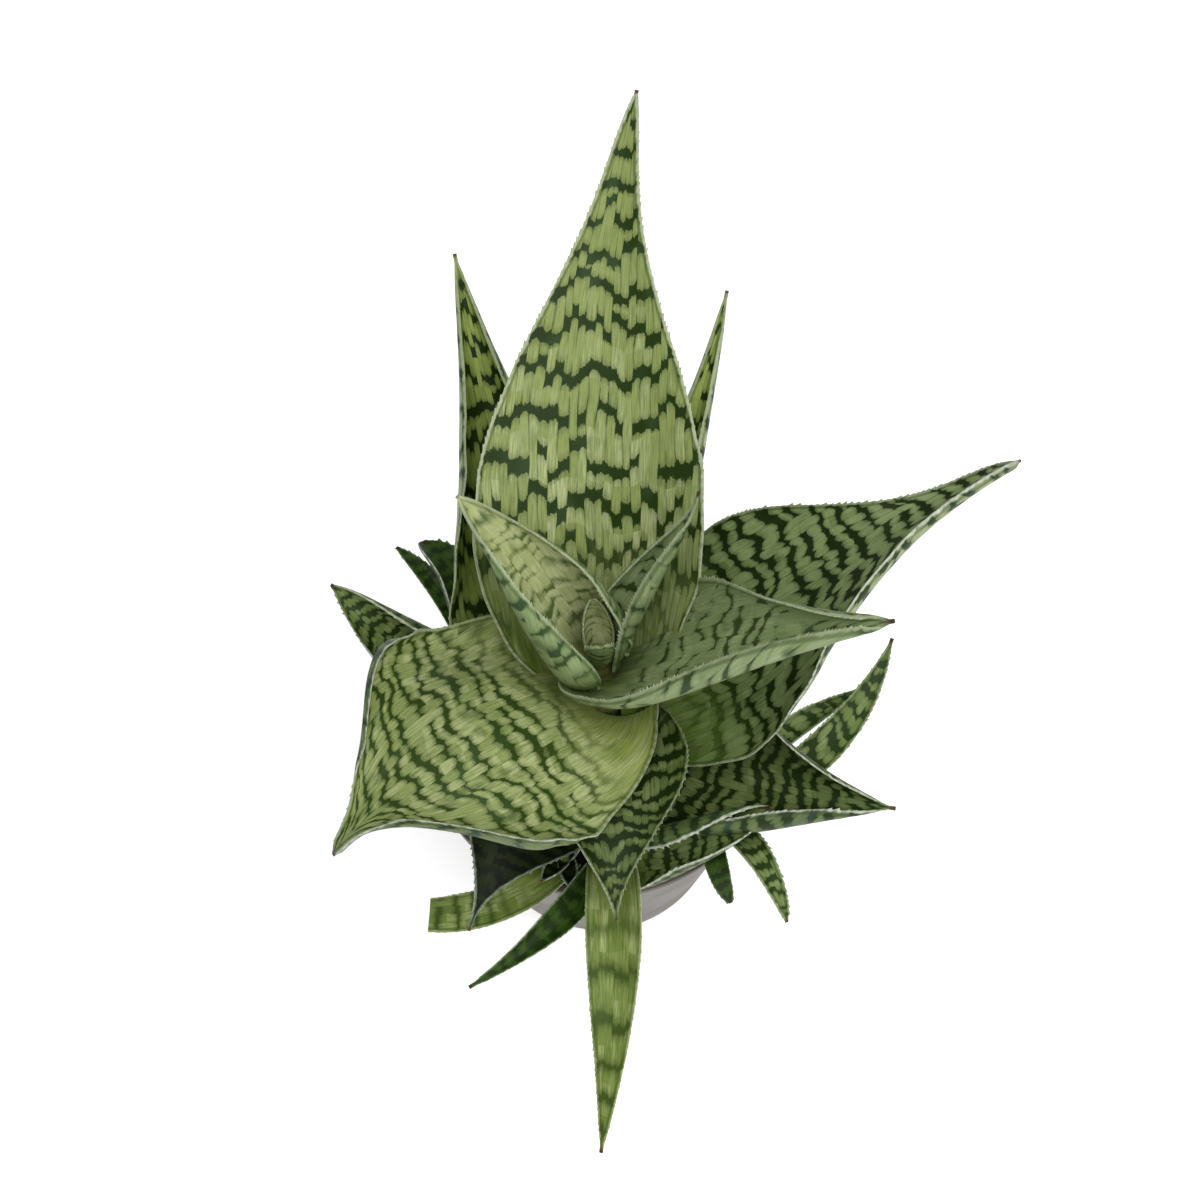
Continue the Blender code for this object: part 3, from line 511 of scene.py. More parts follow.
ROSETTE = (
    Leaf("leaf_bud_inner", 278, 137, 14, 11, (72, 84, 96), 0, (0, 0), (85, 70, 45), 0.4, 0.6, 0.3, "heart",
         (3, 2.6, 2.2), 0.5, 1.2, thickness=1.6, start=2.0, base=0.75),
    Leaf("leaf_bud_outer", 104, 137, 20, 13, (66, 74, 72), 0, (0, 0), (105, 92, 60), 0.4, 0.7, 0.3, "heart",
         (3.2, 2.8, 2.4), 0.6, 1.2, thickness=1.8, start=2.2, base=0.75),
    Leaf("leaf_inner_right", 42, 136, 63, 20, (75, 57, 85), -9, (3, -20), (82, 118, 126, 82), 0.27, 2.1, 0.2,
         "young", (6, 5.5, 5), 0.6, 1.0, curl=(48, -14), thickness=2.6, start=4.0),
    Leaf("leaf_inner_left", 152, 132, 66, 52, (58, 61, 27), -8, (-12, -10), (130, 125, 74, 66), 0.17, 1.72,
         1.53, "heart", (7, 5, 4.5), 0.55, 1.0, bare=0.28, curl=(27, 90), thickness=3.6, start=5.0),
    Leaf("leaf_young_right", -24, 128, 99, 48.4, (59, 50, 33), 15, (-16, 19), (91, 40, 91, 150), 0.08, 1.05,
         0.22, "young", (8, 6.2, 5), 0.62, 1.0, bow=-14, curl=(95, -10), start=6.0, base=0.8),
    Leaf("leaf_tall_back", 94, 122, 157, 70, (63, 30, 25), -16, (-10, -7), (88, 44, 26, 46), 0.21, 2.12, 1.26,
         "tall", (15, 11.5, 8), 0.22, 1.8, curl=(-14, 1), thickness=5.2, start=7.0),
    Leaf("leaf_broad_left", 221, 117, 100, 83, (66, 15, -57), -5, (-2, 8), (71, -60, -10, 62), 0.5, 3.0, 0.85,
         "broad", (8, 6.6, 5.8), 0.22, 1.7, bow=14, gather=0.35, curl=(208, 162), thickness=5.2),
    Leaf("leaf_long_right", 9, 112, 131, 70, (15, 38, -22), 27, (12, -51), (19, 15, 45, 48), 0.32, 2.67, 1.55,
         "long", (8, 7, 6), 0.25, 1.7, bow=4, curl=(35, 11), thickness=5.2),
    Leaf("leaf_front", 271, 108, 66, 49, (48, 10, -36), 6, (-8, -17), (82, 50, 65), 0.34, 1.86, 0.31, "low",
         (5, 4.4, 3.6), 0.6, 1.5),
    Leaf("leaf_back_left", 117, 106, 127, 70, (14, 35, 35), -14, (-29, 4), (17, 114, 81), 0.2, 1.76, 0.44,
         "back", (11, 10, 7.5), 0.45, 1.8),
    Leaf("leaf_back_right", 66, 101, 118, 35, (37, 28, 36), 10, (-2, -9), (72, 116, 75), 0.2, 2.02, 0.94,
         "back", (10, 8.5, 7), 0.5, 1.6),
    Leaf("leaf_low_right", 320, 99, 86, 50, (8, 24, 8), 29, (16, 19), (59, 33, 93, 68), 0.46, 1.53, 0.0,
         "low", (5.5, 5, 4.2), 0.6, 1.5, curl=(95, 0)),
    # The front-left leaf wears the painted-shade skin: its darkness is the shade it lies in.
    Leaf("leaf_front_left", 236, 99, 71, 51, (33, 4, -26), 13, (-7, -24), (80, 38, 56), 0.33, 2.26, 0.14,
         "shade", (5, 4.6, 4), 0.5, 1.5),
    Leaf("leaf_lower_back", 92, 96, 84, 38, (26, 12, -4), 0, (0, 6), (62, 46, 50), 0.3, 1.6, 0.3, "back",
         (8, 7, 6), thickness=4.0),
    Leaf("leaf_lower_left", 188, 94, 60, 34, (22, 4, -18), 8, (0, 0), (62, 44, 50), 0.32, 1.5, 0.3, "low",
         thickness=4.0),
    Leaf("leaf_lower_right", 22, 93, 68, 34, (20, 8, -4), -4, (0, 0), (62, 44, 50), 0.32, 1.5, 0.3, "low",
         thickness=4.0),
)

OFFSETS = (
    offset_leaf(FRONT, "offset_front_leaf_long", 274, 90, 90, 16, (61, -7, -35), -12, (8, 18), (39, 24, 10),
                0.28, 1.26, 1.17, "pale_offset", (14, 12, 8), tooth=0.22, base=0.8, thickness=2.8),
    offset_leaf(FRONT, "offset_front_leaf_right", -7, 93.4, 50, 31, (26, 44, 17), 20, (48, 43), (66, 141, 58),
                0.3, 0.9, 0.34, "offset", (5, 4.6, 4), tooth=0.8),
    offset_leaf(FRONT, "offset_front_leaf_left", 244, 90, 56, 11.0, (25, 12, -10), -35, (-14, -14),
                (55, 69, 55), 0.3, 1.44, 1.24, "dark_offset", (6, 5.5, 4.5)),
    offset_leaf(RIGHT, "offset_right_leaf_long", 13, 90, 72, 10.5, (22, 21, 19), 57, (7, 8), (50, 24, 21),
                0.39, 0.93, 0.0, "offset", (6.5, 6, 5)),
    offset_leaf(RIGHT, "offset_right_leaf_back", 49, 90, 56, 8.2, (49, 6, 12), -24, (-11, -1), (61, 49, 15),
                0.46, 0.96, 0.0, "offset", (6, 5, 4)),
    offset_leaf(RIGHT, "offset_right_leaf_front", 309, 90, 41, 8.8, (50, 11, -48), -19, (0, -11),
                (45, 38, 28), 0.31, 0.9, 1.49, "offset", (5, 4.5, 4), tooth=0.8),
    offset_leaf(RIGHT, "offset_right_leaf_short", 263, 90, 26, 6.6, (35, 2, -16), 35, (3, 6), (40, 19, 21),
                0.47, 0.53, 0.51, "dark_offset", (5, 4, 4), tooth=0.25),
    offset_leaf(LEFT, "offset_left_leaf_broad", 163, 90, 52, 35, (26, 41, 10), -15, (-31, -47), (59, 107, 33),
                0.29, 1.32, 0.82, "offset", (5.5, 4.6, 4), base=0.95),
    offset_leaf(LEFT, "offset_left_leaf_back", 91, 90, 46, 21, (47, 29, -5), 49, (9, 35), (43, 71, 35), 0.41,
                0.61, 0.79, "dark_offset", (5, 4.5, 4)),
    offset_leaf(LEFT, "offset_left_leaf_narrow", 107, 90, 47, 7.3, (53, 21, 6), 35, (6, 2), (55, 43, 22),
                0.45, 0.66, 0.0, "dark_offset", (5, 4.5, 4)),
    offset_leaf(TINY, "offset_tiny_leaf_cut", 230, 87.8, 63, 11, (20, 1, -2), -79, (0, 0), (40, 22, 14), 0.4,
                0.6, 0.3, "pale_offset", (5, 5, 5), tooth=0.3, start=2.0, base=0.9, kept=0.66),
)
print("leaves:", len(ROSETTE), "in the rosette and", len(OFFSETS), "on the offsets")

# %% [markdown]
# ## The leaf as a surface
# A leaf is two sheets, upper and lower, that meet in the toothed margin. The midrib is walked in
# short steps, turning as the table says, and each cross-section is an arc through it, whose last
# part may curl over. The flesh is thick over the midrib and thin at the margins. Drawing the outline
# and extruding it would give a flat cut-out; an arc that changes its fold along the way gives the
# channel, the broad middle and the rolled margins of the real leaf.

# %% The leaf's formula
MARGIN_THICKNESS = 0.9
TIP_WIDTH = 0.9
TIP_THINNING = 0.6
UPPER_SHARE = 0.25
TIGHTEST_BEND = 1.2
TIGHTEST_CURL = 1.0
CURL_POWER = 5
SECTION_STEPS = 41
ROOT_SINK = 3.0
FULL_TOOTH_FROM = 6.0
MIDRIB_STEPS = 240


def through(values, s):
    """The polynomial through the values, at equal steps from s = 0 to s = 1."""
    places = np.linspace(0, 1, len(values))
    return np.polyval(np.polyfit(places, values, len(values) - 1), s)


def half_width(leaf, s):
    """Half the flattened width: 1 - (1 - base) * t^2 up to the widest place, then a power of a sine,
    and near the tip point * t * (1 - t)^6 more, which makes it a broad triangle."""
    to_tip = np.clip((1 - s) / (1 - leaf.widest), 0, 1)
    to_root = np.clip((leaf.widest - s) / leaf.widest, 0, 1)
    narrowing = np.sin(math.pi / 2 * to_tip) ** leaf.taper + leaf.point * to_tip * (1 - to_tip) ** 6
    outline = np.where(s < leaf.widest, 1 - (1 - leaf.base) * to_root**2, narrowing)
    return np.maximum(leaf.width / 2 * outline, TIP_WIDTH / 2)


def flesh(leaf, s, across):
    """Thickness: the midrib's, less the square of the share across, down to the margin's."""
    middle = leaf.thickness * (1 - TIP_THINNING * np.clip(s, 0, 1))
    middle = np.clip(middle, MARGIN_THICKNESS, MARGIN_THICKNESS + 0.8 * half_width(leaf, s))
    return MARGIN_THICKNESS + (middle - MARGIN_THICKNESS) * (1 - across**2)


def rows_at(steps, rows, s):
    """Read a table of vectors at the places s."""
    return np.stack([np.interp(s, steps, rows[:, i]) for i in range(3)], -1)


def midrib(leaf, s):
    """Points on the midrib and the blade's own left and up there: the sum of short steps forward."""
    steps = np.linspace(-ROOT_SINK / leaf.length, 1, MIDRIB_STEPS)
    rise = np.radians(through(leaf.rise, steps))
    heading = np.radians(leaf.azimuth + leaf.swing * steps)
    forward = np.stack([np.cos(rise) * np.cos(heading), np.cos(rise) * np.sin(heading), np.sin(rise)], 1)
    level = np.stack([-np.sin(heading), np.cos(heading), 0 * heading], 1)
    upward = np.cross(forward, level)
    roll = np.radians(leaf.roll[0] + (leaf.roll[1] - leaf.roll[0]) * steps)[:, None]
    left, up = np.cos(roll) * level + np.sin(roll) * upward, np.cos(roll) * upward - np.sin(roll) * level
    stride = (forward[1:] + forward[:-1]) / 2 * (steps[1] - steps[0]) * leaf.length
    path = np.vstack([np.zeros(3), np.cumsum(stride, axis=0)])
    start = math.radians(leaf.azimuth)
    root = np.array([math.cos(start), math.sin(start), 0]) * leaf.start + (*leaf.stem, leaf.height)
    centre = root + rows_at(steps, path, s) - rows_at(steps, path, np.zeros(1))
    return centre, rows_at(steps, left, s), rows_at(steps, up, s)


def running_sum(rows, steps):
    """The area under each row, from the middle step on."""
    strips = (rows[:, 1:] + rows[:, :-1]) / 2 * (steps[1] - steps[0])
    area = np.hstack([np.zeros((len(rows), 1)), np.cumsum(strips, axis=1)])
    return area - area[:, len(steps) // 2, None]


def section(leaf, s, across):
    """Where each share across lies in the section, and its turn there: fold * share + curl * share^5.
    The sums of the turn's cosine and sine along the section are how far it goes to the side and up."""
    half = half_width(leaf, s)[:, None]
    fold = np.clip(np.radians(through(leaf.fold, s))[:, None], -half / TIGHTEST_BEND, half / TIGHTEST_BEND)
    spare = np.maximum(half / TIGHTEST_CURL - np.abs(fold), 0) / CURL_POWER
    right, left = (np.clip(math.radians(curl) * np.clip(2 * s, 0, 1)[:, None], -spare, spare) for curl in leaf.curl)
    steps = np.linspace(-1, 1, SECTION_STEPS)
    shares = np.concatenate([steps, across])[None, :]
    turn = fold * shares + np.where(shares < 0, right, left) * shares**CURL_POWER
    walked = [half * running_sum(part(turn[:, :SECTION_STEPS]), steps) for part in (np.cos, np.sin)]
    side, lift = (np.stack([np.interp(across, steps, row) for row in rows]) for rows in walked)
    return side, lift, turn[:, SECTION_STEPS:]


def blade_sheet(leaf, s, across, depth, widen):
    """Points of one sheet: the section's, moved by depth inwards and by widen along it."""
    centre, left, up = midrib(leaf, s)
    side, lift, turn = section(leaf, s, across)
    side = side + depth * np.sin(turn) + widen * np.cos(turn)
    lift = lift - depth * np.cos(turn) + widen * np.sin(turn)
    return centre[:, None] + side[..., None] * left[:, None] + lift[..., None] * up[:, None]


# %% [markdown]
# ## Teeth, rim and ripple
# Real margins carry small pale teeth, about a millimetre apart on the young leaves, that lean
# towards the tip and are never quite alike. They are made from two extra columns of points outside
# the margin: four rows a tooth give it a slow rise and a quick fall. A rounded rim, a slight ripple
# and faint lengthwise ribs keep the blade from looking cut from sheet.

# %% One fine leaf
ROWS_A_TOOTH = 4
TOOTH_FORM = np.array([0.05, 0.42, 1.0, 0.25])
TOOTH_LEAN = np.array([0.0, 0.12, 0.42, 0.05])
COLUMNS = 25


def column_shares(leaf):
    """Shares across, from the right margin to the left, closer together near the margins."""
    count = COLUMNS if leaf.width > 18 else 15
    return np.sin(np.linspace(-math.pi / 2, math.pi / 2, count)) * 0.35 + np.linspace(-1, 1, count) * 0.65


def margin_teeth(leaf, s, dice):
    """How far the margin stands out in each row, and how far its points lean to the tip, in mm."""
    rows = len(s)
    ends = np.clip((1 - s) * 14, 0, 1) * np.clip((s - leaf.bare) * 10, 0, 1)
    size = leaf.tooth * np.clip(half_width(leaf, s) / FULL_TOOTH_FROM, 0.3, 1) * ends
    luck = np.repeat(dice.uniform(0.15, 1.35, rows // ROWS_A_TOOTH + 1), ROWS_A_TOOTH)[:rows]
    form = np.resize(TOOTH_FORM, rows) * luck * size
    return form, np.resize(TOOTH_LEAN, rows) * leaf.tooth_pitch * luck


def leaf_mesh(leaf, number):
    """Points, faces and the two vectors for the pattern of a whole leaf."""
    dice = np.random.default_rng(number)
    teeth = round((leaf.length * leaf.kept + ROOT_SINK) / leaf.tooth_pitch)
    ends = np.concatenate([[0], np.cumsum(dice.uniform(0.6, 1.4, teeth))])
    spread = np.interp(np.linspace(0, teeth, teeth * ROWS_A_TOOTH + 1), np.arange(teeth + 1), ends / ends[-1])
    s = -ROOT_SINK / leaf.length + spread * (leaf.kept + ROOT_SINK / leaf.length)
    inner = column_shares(leaf)
    shares = np.concatenate([[-1, -1], inner, [1, 1]])
    across = shares[None, :] + 0 * s[:, None]
    out = np.concatenate([[1.0, 0.5], 0 * inner, [0.5, 1.0]])
    half = half_width(leaf, s)[:, None]

    widen, lean = np.zeros_like(across), np.zeros_like(across)
    for sign in (-1, 1):
        stand, tilt = margin_teeth(leaf, s, dice)
        at = (np.sign(across) == sign) * out
        widen += sign * at * (stand[:, None] + 0.05)
        lean += at * tilt[:, None]

    from_margin = (1 - np.abs(across)) * half
    rim = np.clip(from_margin / 1.3, 0, 1)
    thickness = flesh(leaf, s[:, None], across) * (0.5 + 0.5 * rim * (2 - rim)) * (1 - 0.72 * out)
    phase = dice.uniform(0, 2 * math.pi, 4)
    along = s[:, None] * leaf.length
    ripple = np.sin(along / 4.1 + phase[0] * (across > 0)) + 0.6 * np.sin(along / 2.3 + phase[1] + across)
    ripple *= 0.011 * half * np.abs(across) ** 4 * np.clip(4 * (1 - s[:, None]), 0, 1)
    ribs = 0.03 * np.sin(across * half * 2.9 + phase[2]) * np.clip(1 - np.abs(across), 0, 1)
    upper = blade_sheet(leaf, s, shares, -UPPER_SHARE * thickness + ripple + ribs, widen)
    lower = blade_sheet(leaf, s, shares, (1 - UPPER_SHARE) * thickness + ripple + 2 * ribs, widen)
    ahead = np.gradient(midrib(leaf, s)[0], axis=0)
    ahead /= np.linalg.norm(ahead, axis=1)[:, None]
    upper += lean[..., None] * ahead[:, None]
    lower += lean[..., None] * ahead[:, None]

    fine = np.linspace(s[0], s[-1], 400)
    count = np.cumsum(leaf.length / through(leaf.bands, fine)) * (fine[1] - fine[0])
    band = np.interp(s[:, None] + leaf.bow * across**2 / leaf.length, fine, count) + 10 * number
    broad = leaf.width / 2 * leaf.gather + half * (1 - leaf.gather)
    place = np.stack([across * broad + 90, band, from_margin - np.abs(widen)], -1)
    share = np.stack([s[:, None] + 0 * across, along + 0 * across + 300 * number, 0 * across], -1)
    is_upper = np.array([0.0, 0.0, 1.0])

    rows, columns = across.shape
    points = np.concatenate([upper.reshape(-1, 3), lower.reshape(-1, 3)]) * MM
    places = np.tile(place.reshape(-1, 3), (2, 1))
    shares = np.concatenate([(share + is_upper).reshape(-1, 3), share.reshape(-1, 3)])
    return points, shell_faces(rows, columns), places, shares


def shell_faces(rows, columns):
    """Quads of an upper and a lower grid, and of the narrow wall that joins their borders."""
    top = grid_faces(rows, columns)
    below = top[:, ::-1] + rows * columns
    grid = np.arange(rows * columns).reshape(rows, columns)
    border = np.concatenate([grid[:-1, 0], grid[-1, :-1], grid[:0:-1, -1], grid[0, :0:-1]])
    after = np.roll(border, -1)
    walls = np.stack([border, border + rows * columns, after + rows * columns, after], -1)
    return np.concatenate([top, below, walls])


# %% [markdown]
# ## Leaves in place
# Each fine leaf now stands for its solid, which is hidden: it rides on the single body and
# carries the two vectors that the pattern reads.

# %% Make every leaf
SHARP_LEAF_EDGE = 80


def finish_leaf(name, mesh_parts, skin, node):
    """The leaf's object with its pattern vectors, standing for a CAD node."""
    points, faces, places, shares = mesh_parts
    piece = make_piece(name, points, faces, SKINS[skin], SHARP_LEAF_EDGE)
    put_attribute(piece, "leaf_place", places)
    put_attribute(piece, "leaf_share", shares)
    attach(piece, "root")
    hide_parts(node)
    return piece


faces_made = 0
for number, leaf in enumerate(ROSETTE + OFFSETS):
    piece = finish_leaf("fine_" + leaf.node, leaf_mesh(leaf, number + 1), leaf.skin, leaf.node)
    faces_made += len(piece.data.polygons)
print("faces on the leaves:", faces_made)

# %% [markdown]
# ## Turned shapes
# The pot, the potting mix and the stems are round. A profile, drawn as radius and height, is carried
# round the axis. The tiny offset is a stem of this kind with four very small leaves on it.

# %% The tiny offset
def turned(profile, steps, centre=(0.0, 0.0)):
    """Points and quads of a closed shape: a (radius, height) profile in mm, carried round the axis at
    steps angles. A profile that starts and ends on the axis closes itself there."""
    angle = np.arange(steps) * 2 * math.pi / steps
    radius, height = np.array(profile).T
    points = np.stack([radius[:, None] * np.cos(angle) + centre[0], radius[:, None] * np.sin(angle) + centre[1],
                       height[:, None] + 0 * angle], -1)
    return points.reshape(-1, 3) * MM, grid_faces(len(profile), steps, wrap=True)[:, ::-1]


TINY_LEAVES = (
    offset_leaf(TINY, "tiny_a", 235, 90, 13, 6, (55, 35, 20), 0, (0, 0), (60, 50, 40), 0.4, 0.9, 0.3,
                "offset", (3, 3, 3), tooth=0.5, tooth_pitch=1.2, thickness=1.4, start=0.6),
    offset_leaf(TINY, "tiny_b", 282, 90, 13, 6, (50, 30, 10), 0, (0, 0), (60, 50, 40), 0.4, 0.9, 0.3,
                "offset", (3, 3, 3), tooth=0.5, tooth_pitch=1.2, thickness=1.4, start=0.6),
    offset_leaf(TINY, "tiny_c", 150, 90, 11, 5, (62, 45, 30), 0, (0, 0), (60, 50, 40), 0.4, 0.9, 0.3,
                "offset", (3, 3, 3), tooth=0.5, tooth_pitch=1.2, thickness=1.4, start=0.6),
    offset_leaf(TINY, "tiny_d", 20, 90, 10, 5, (70, 60, 50), 0, (0, 0), (60, 50, 40), 0.4, 0.9, 0.3, "offset",
                (3, 3, 3), tooth=0.5, tooth_pitch=1.2, thickness=1.4, start=0.6),
)
TINY_STEM = [(0.001, 93), (1.2, 92.9), (1.8, 92.3), (2.4, 90.5), (2.6, 88), (2.6, 79), (1.3, 68), (0.001, 68)]

points, faces = turned(TINY_STEM, 20, TINY)
parts = [(points, faces, np.tile((91.0, 0.5, 5.0), (len(points), 1)), np.tile((0.1, 2.0, 0.0), (len(points), 1)))]
parts += [leaf_mesh(leaf, 60 + i) for i, leaf in enumerate(TINY_LEAVES)]
firsts = np.cumsum([0] + [len(part[0]) for part in parts[:-1]])
joined = [np.concatenate([part[0] for part in parts]),
          np.concatenate([part[1] + first for part, first in zip(parts, firsts)]),
          np.concatenate([part[2] for part in parts]), np.concatenate([part[3] for part in parts])]
# The tiny offset, stem and leaves, wears the painted-shade skin: dark for the shade it sits in among the leaves.
tiny = finish_leaf("fine_offset_tiny_rosette", joined, "shade", "offset_tiny_rosette")
print("tiny offset faces:", len(tiny.data.polygons))

# %% [markdown]
# ## The pot
# A thin moulded nursery pot: a plain tapering wall, a small rolled lip, and a foot with a raised ring
# of drain holes. Its mauve-grey plastic is satin, a little dusty, with faint rings from the mould and
# a few dark scuffs. The wall is one closed profile turned round the axis, and the holes are cut from
# it with small cylinders, as a drill would.

# %% Pot shape
POT_HEIGHT, POT_TOP, POT_BASE, POT_WALL = 87.5, 51.3, 39.5, 1.3
FLOOR, LIP, LIP_DEPTH = 1.8, 1.2, 3.0
CHANNEL, CHANNEL_LIFT = (21, 23, 33, 35), 2.6
POT_STEPS, DRAIN_HOLES, DRAIN_RADIUS = 144, 8, 3.2


def pot_radius(height):
    """Radius of the outer wall below the lip: a straight taper from the foot to the top."""
    return POT_BASE + (POT_TOP - POT_BASE) * height / POT_HEIGHT


def foot(rise):
    """The foot in section, from the wall to the middle: a ring, a raised channel and a disc."""
    inner, inner_ramp, outer_ramp, outer = CHANNEL
    top = rise + CHANNEL_LIFT
    return [(outer, rise), (outer - 0.3, rise + 0.1), (outer_ramp + 0.3, top - 0.1), (outer_ramp, top),
            (inner_ramp, top), (inner_ramp - 0.3, top - 0.1), (inner + 0.3, rise + 0.1), (inner, rise), (0.001, rise)]


def pot_profile():
    """The whole wall in section: up over the lip, down the outside, across the foot and back inside."""
    lip, shoulder = POT_TOP + LIP, POT_HEIGHT - LIP_DEPTH
    outside = [(lip - 0.55, POT_HEIGHT), (lip - 0.2, POT_HEIGHT - 0.08), (lip, POT_HEIGHT - 0.4),
               (lip, shoulder + 0.5), (lip - 0.15, shoulder + 0.1), (lip - 0.5, shoulder - 0.2),
               (pot_radius(shoulder - 1.0) + 0.08, shoulder - 0.85), (pot_radius(shoulder - 1.6), shoulder - 1.6)]
    wall = [(pot_radius(height), height) for height in np.linspace(shoulder - 5, 2.2, 18)]
    heel = [(POT_BASE + 0.05, 1.0), (POT_BASE - 0.35, 0.3), (POT_BASE - 1.2, 0.0)]
    inside = foot(FLOOR)[::-1] + [(pot_radius(FLOOR) - POT_WALL - 0.8, FLOOR), (pot_radius(FLOOR) - POT_WALL, FLOOR + 0.9)]
    rim = [(POT_TOP - POT_WALL, POT_HEIGHT - 0.5), (POT_TOP - POT_WALL + 0.12, POT_HEIGHT - 0.1),
           (POT_TOP - POT_WALL + 0.5, POT_HEIGHT)]
    return outside + wall + heel + foot(0.0) + inside + rim + outside[:1]


# %% [markdown]
# Fine grain, dust and small marks are wanted on the plastic, the stems and the potting mix alike, so
# they are one group: a fleck mask from two sizes of noise, and a height for the bump.

# %% Shared grain
def grain_group():
    """Flecks where fine noise passes a limit, cloudy dust from coarse noise, and a height from both."""
    inputs = {"Place": "vector", "Fleck Scale": 900.0, "Fleck Limit": 0.68, "Cloud Scale": 60.0}
    tree, take, give = new_group("grain", inputs, {"Fleck": "Float", "Cloud": "Float", "Height": "Float"})
    w = Wiring(tree)
    fine = w.noise(take["Place"], take["Fleck Scale"], 2.0)
    cloud = w.noise(take["Place"], take["Cloud Scale"], 3.0)
    w.tree.links.new(w.ramp(fine, take["Fleck Limit"], w.plus(take["Fleck Limit"], 0.05)), give["Fleck"])
    w.tree.links.new(w.ramp(cloud, 0.35, 0.7), give["Cloud"])
    w.tree.links.new(w.plus(w.times(fine, 0.5), w.times(cloud, 0.5)), give["Height"])
    return tree


GRAIN = grain_group()


def grain(w, place, **values):
    """Place the grain group in a material and return its three outputs."""
    node = w.add("ShaderNodeGroup", (), 0, node_tree=GRAIN).node
    w.tree.links.new(place, node.inputs["Place"])
    for key, value in values.items():
        node.inputs[key.replace("_", " ").title()].default_value = value
    return node.outputs


# %% Pot plastic and pot
def pot_plastic():
    """Satin mauve-grey plastic with dust, mould rings and a few scuffs."""
    made, w, shader = new_material("pot_plastic")
    place = w.add("ShaderNodeTexCoord", out=3)
    x, y, z = w.split(place)
    dust = grain(w, place, fleck_scale=700.0, fleck_limit=0.72, cloud_scale=45.0)
    skin = w.blend(dust["Cloud"], colour(86, 76, 68), colour(102, 92, 80))
    skin = w.blend(w.times(dust["Fleck"], 0.3), skin, colour(128, 118, 104))
    marks = w.noise(w.join(w.times(x, 1.0), w.times(y, 1.0), w.times(z, 2.2)), 115.0, 1.0)
    skin = w.blend(w.ramp(marks, 0.735, 0.76), skin, colour(40, 33, 30))
    lip = w.ramp(z, (POT_HEIGHT - LIP_DEPTH - 1) * MM, (POT_HEIGHT - LIP_DEPTH) * MM)
    skin = w.blend(w.times(lip, 0.35), skin, colour(76, 67, 59))
    w.tree.links.new(skin, shader.inputs["Base Color"])
    w.tree.links.new(w.between(dust["Cloud"], 0.42, 0.58), shader.inputs["Roughness"])
    rings = w.times(w.math("SINE", w.times(z, 2600.0)), 0.12)
    bump = w.add("ShaderNodeBump", {"Height": w.plus(dust["Height"], rings), "Strength": 0.25, "Distance": 0.0002})
    w.tree.links.new(bump, shader.inputs["Normal"])
    return made


points, faces = turned(pot_profile()[:-1], POT_STEPS)
rows = len(pot_profile()) - 1
closing = np.stack([np.arange(POT_STEPS) + (rows - 1) * POT_STEPS, np.arange(POT_STEPS),
                    np.roll(np.arange(POT_STEPS), -1), np.roll(np.arange(POT_STEPS), -1) + (rows - 1) * POT_STEPS], -1)
pot = make_piece("fine_pot", points, np.concatenate([faces, closing[:, ::-1]]), pot_plastic(), 40)
print("pot faces:", len(pot.data.polygons))

# %% Drain holes
def cut_drain_holes(piece):
    """Cut a ring of round holes through the foot's raised channel."""
    middle = (CHANNEL[1] + CHANNEL[2]) / 2
    turns = (np.arange(DRAIN_HOLES) + 0.5) * 2 * math.pi / DRAIN_HOLES
    profile = [(0.001, 10), (DRAIN_RADIUS, 10), (DRAIN_RADIUS, -10), (0.001, -10)]
    drills = [turned(profile, 24, (middle * math.cos(turn), middle * math.sin(turn))) for turn in turns]
    count = len(drills[0][0])
    drill = make_piece("drills", np.concatenate([d[0] for d in drills]),
                       np.concatenate([d[1] + i * count for i, d in enumerate(drills)]), piece.data.materials[0])
    cut = piece.modifiers.new("holes", "BOOLEAN")
    cut.operation, cut.solver, cut.object = "DIFFERENCE", "EXACT", drill
    graph = bpy.context.evaluated_depsgraph_get()
    finished = bpy.data.meshes.new_from_object(piece.evaluated_get(graph), depsgraph=graph)
    piece.modifiers.clear()
    piece.data = finished
    bpy.data.objects.remove(drill)


cut_drain_holes(pot)
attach(pot, "root")
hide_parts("pot")
print("pot faces with holes:", len(pot.data.polygons))

# %% [markdown]
# ## Potting mix
# Dark, damp mix of peat and bark fills the pot to just under the lip. Its top is lumpy at every size,
# so the disc's height is a sum of smooth noises, and several hundred loose crumbs lie on it. Each
# crumb is a small many-sided stone with its corners moved by chance, and all of them are one mesh.

# %% Potting mix material
def potting_mix():
    """Nearly black damp mix with brown flecks."""
    made, w, shader = new_material("potting_mix")
    place = w.add("ShaderNodeTexCoord", out=3)
    bits = grain(w, place, fleck_scale=1100.0, fleck_limit=0.62, cloud_scale=240.0)
    skin = w.blend(bits["Cloud"], colour(14, 11, 9), colour(28, 22, 17))
    skin = w.blend(w.times(bits["Fleck"], 0.5), skin, colour(62, 48, 34))
    w.tree.links.new(skin, shader.inputs["Base Color"])
    w.tree.links.new(w.between(bits["Cloud"], 0.7, 0.95), shader.inputs["Roughness"])
    bump = w.add("ShaderNodeBump", {"Height": bits["Height"], "Strength": 0.9, "Distance": 0.0006})
    w.tree.links.new(bump, shader.inputs["Normal"])
    return made


MIX = potting_mix()

# %% Potting mix shape
SOIL_LEVEL, SOIL_GAP, SOIL_RINGS, SOIL_STEPS = 79.0, 0.3, 46, 150


def soil_height(x, y):
    """Height of the top in mm: the level plus noises of four sizes, each about half as high as the last."""
    height = 0 * x
    for size, tall, seed in ((11, 2.2, 1), (4.5, 1.3, 2), (2.0, 0.8, 3), (1.0, 0.4, 4)):
        height = height + tall * (value_noise(x, y, size, seed) - 0.5)
    return SOIL_LEVEL + height


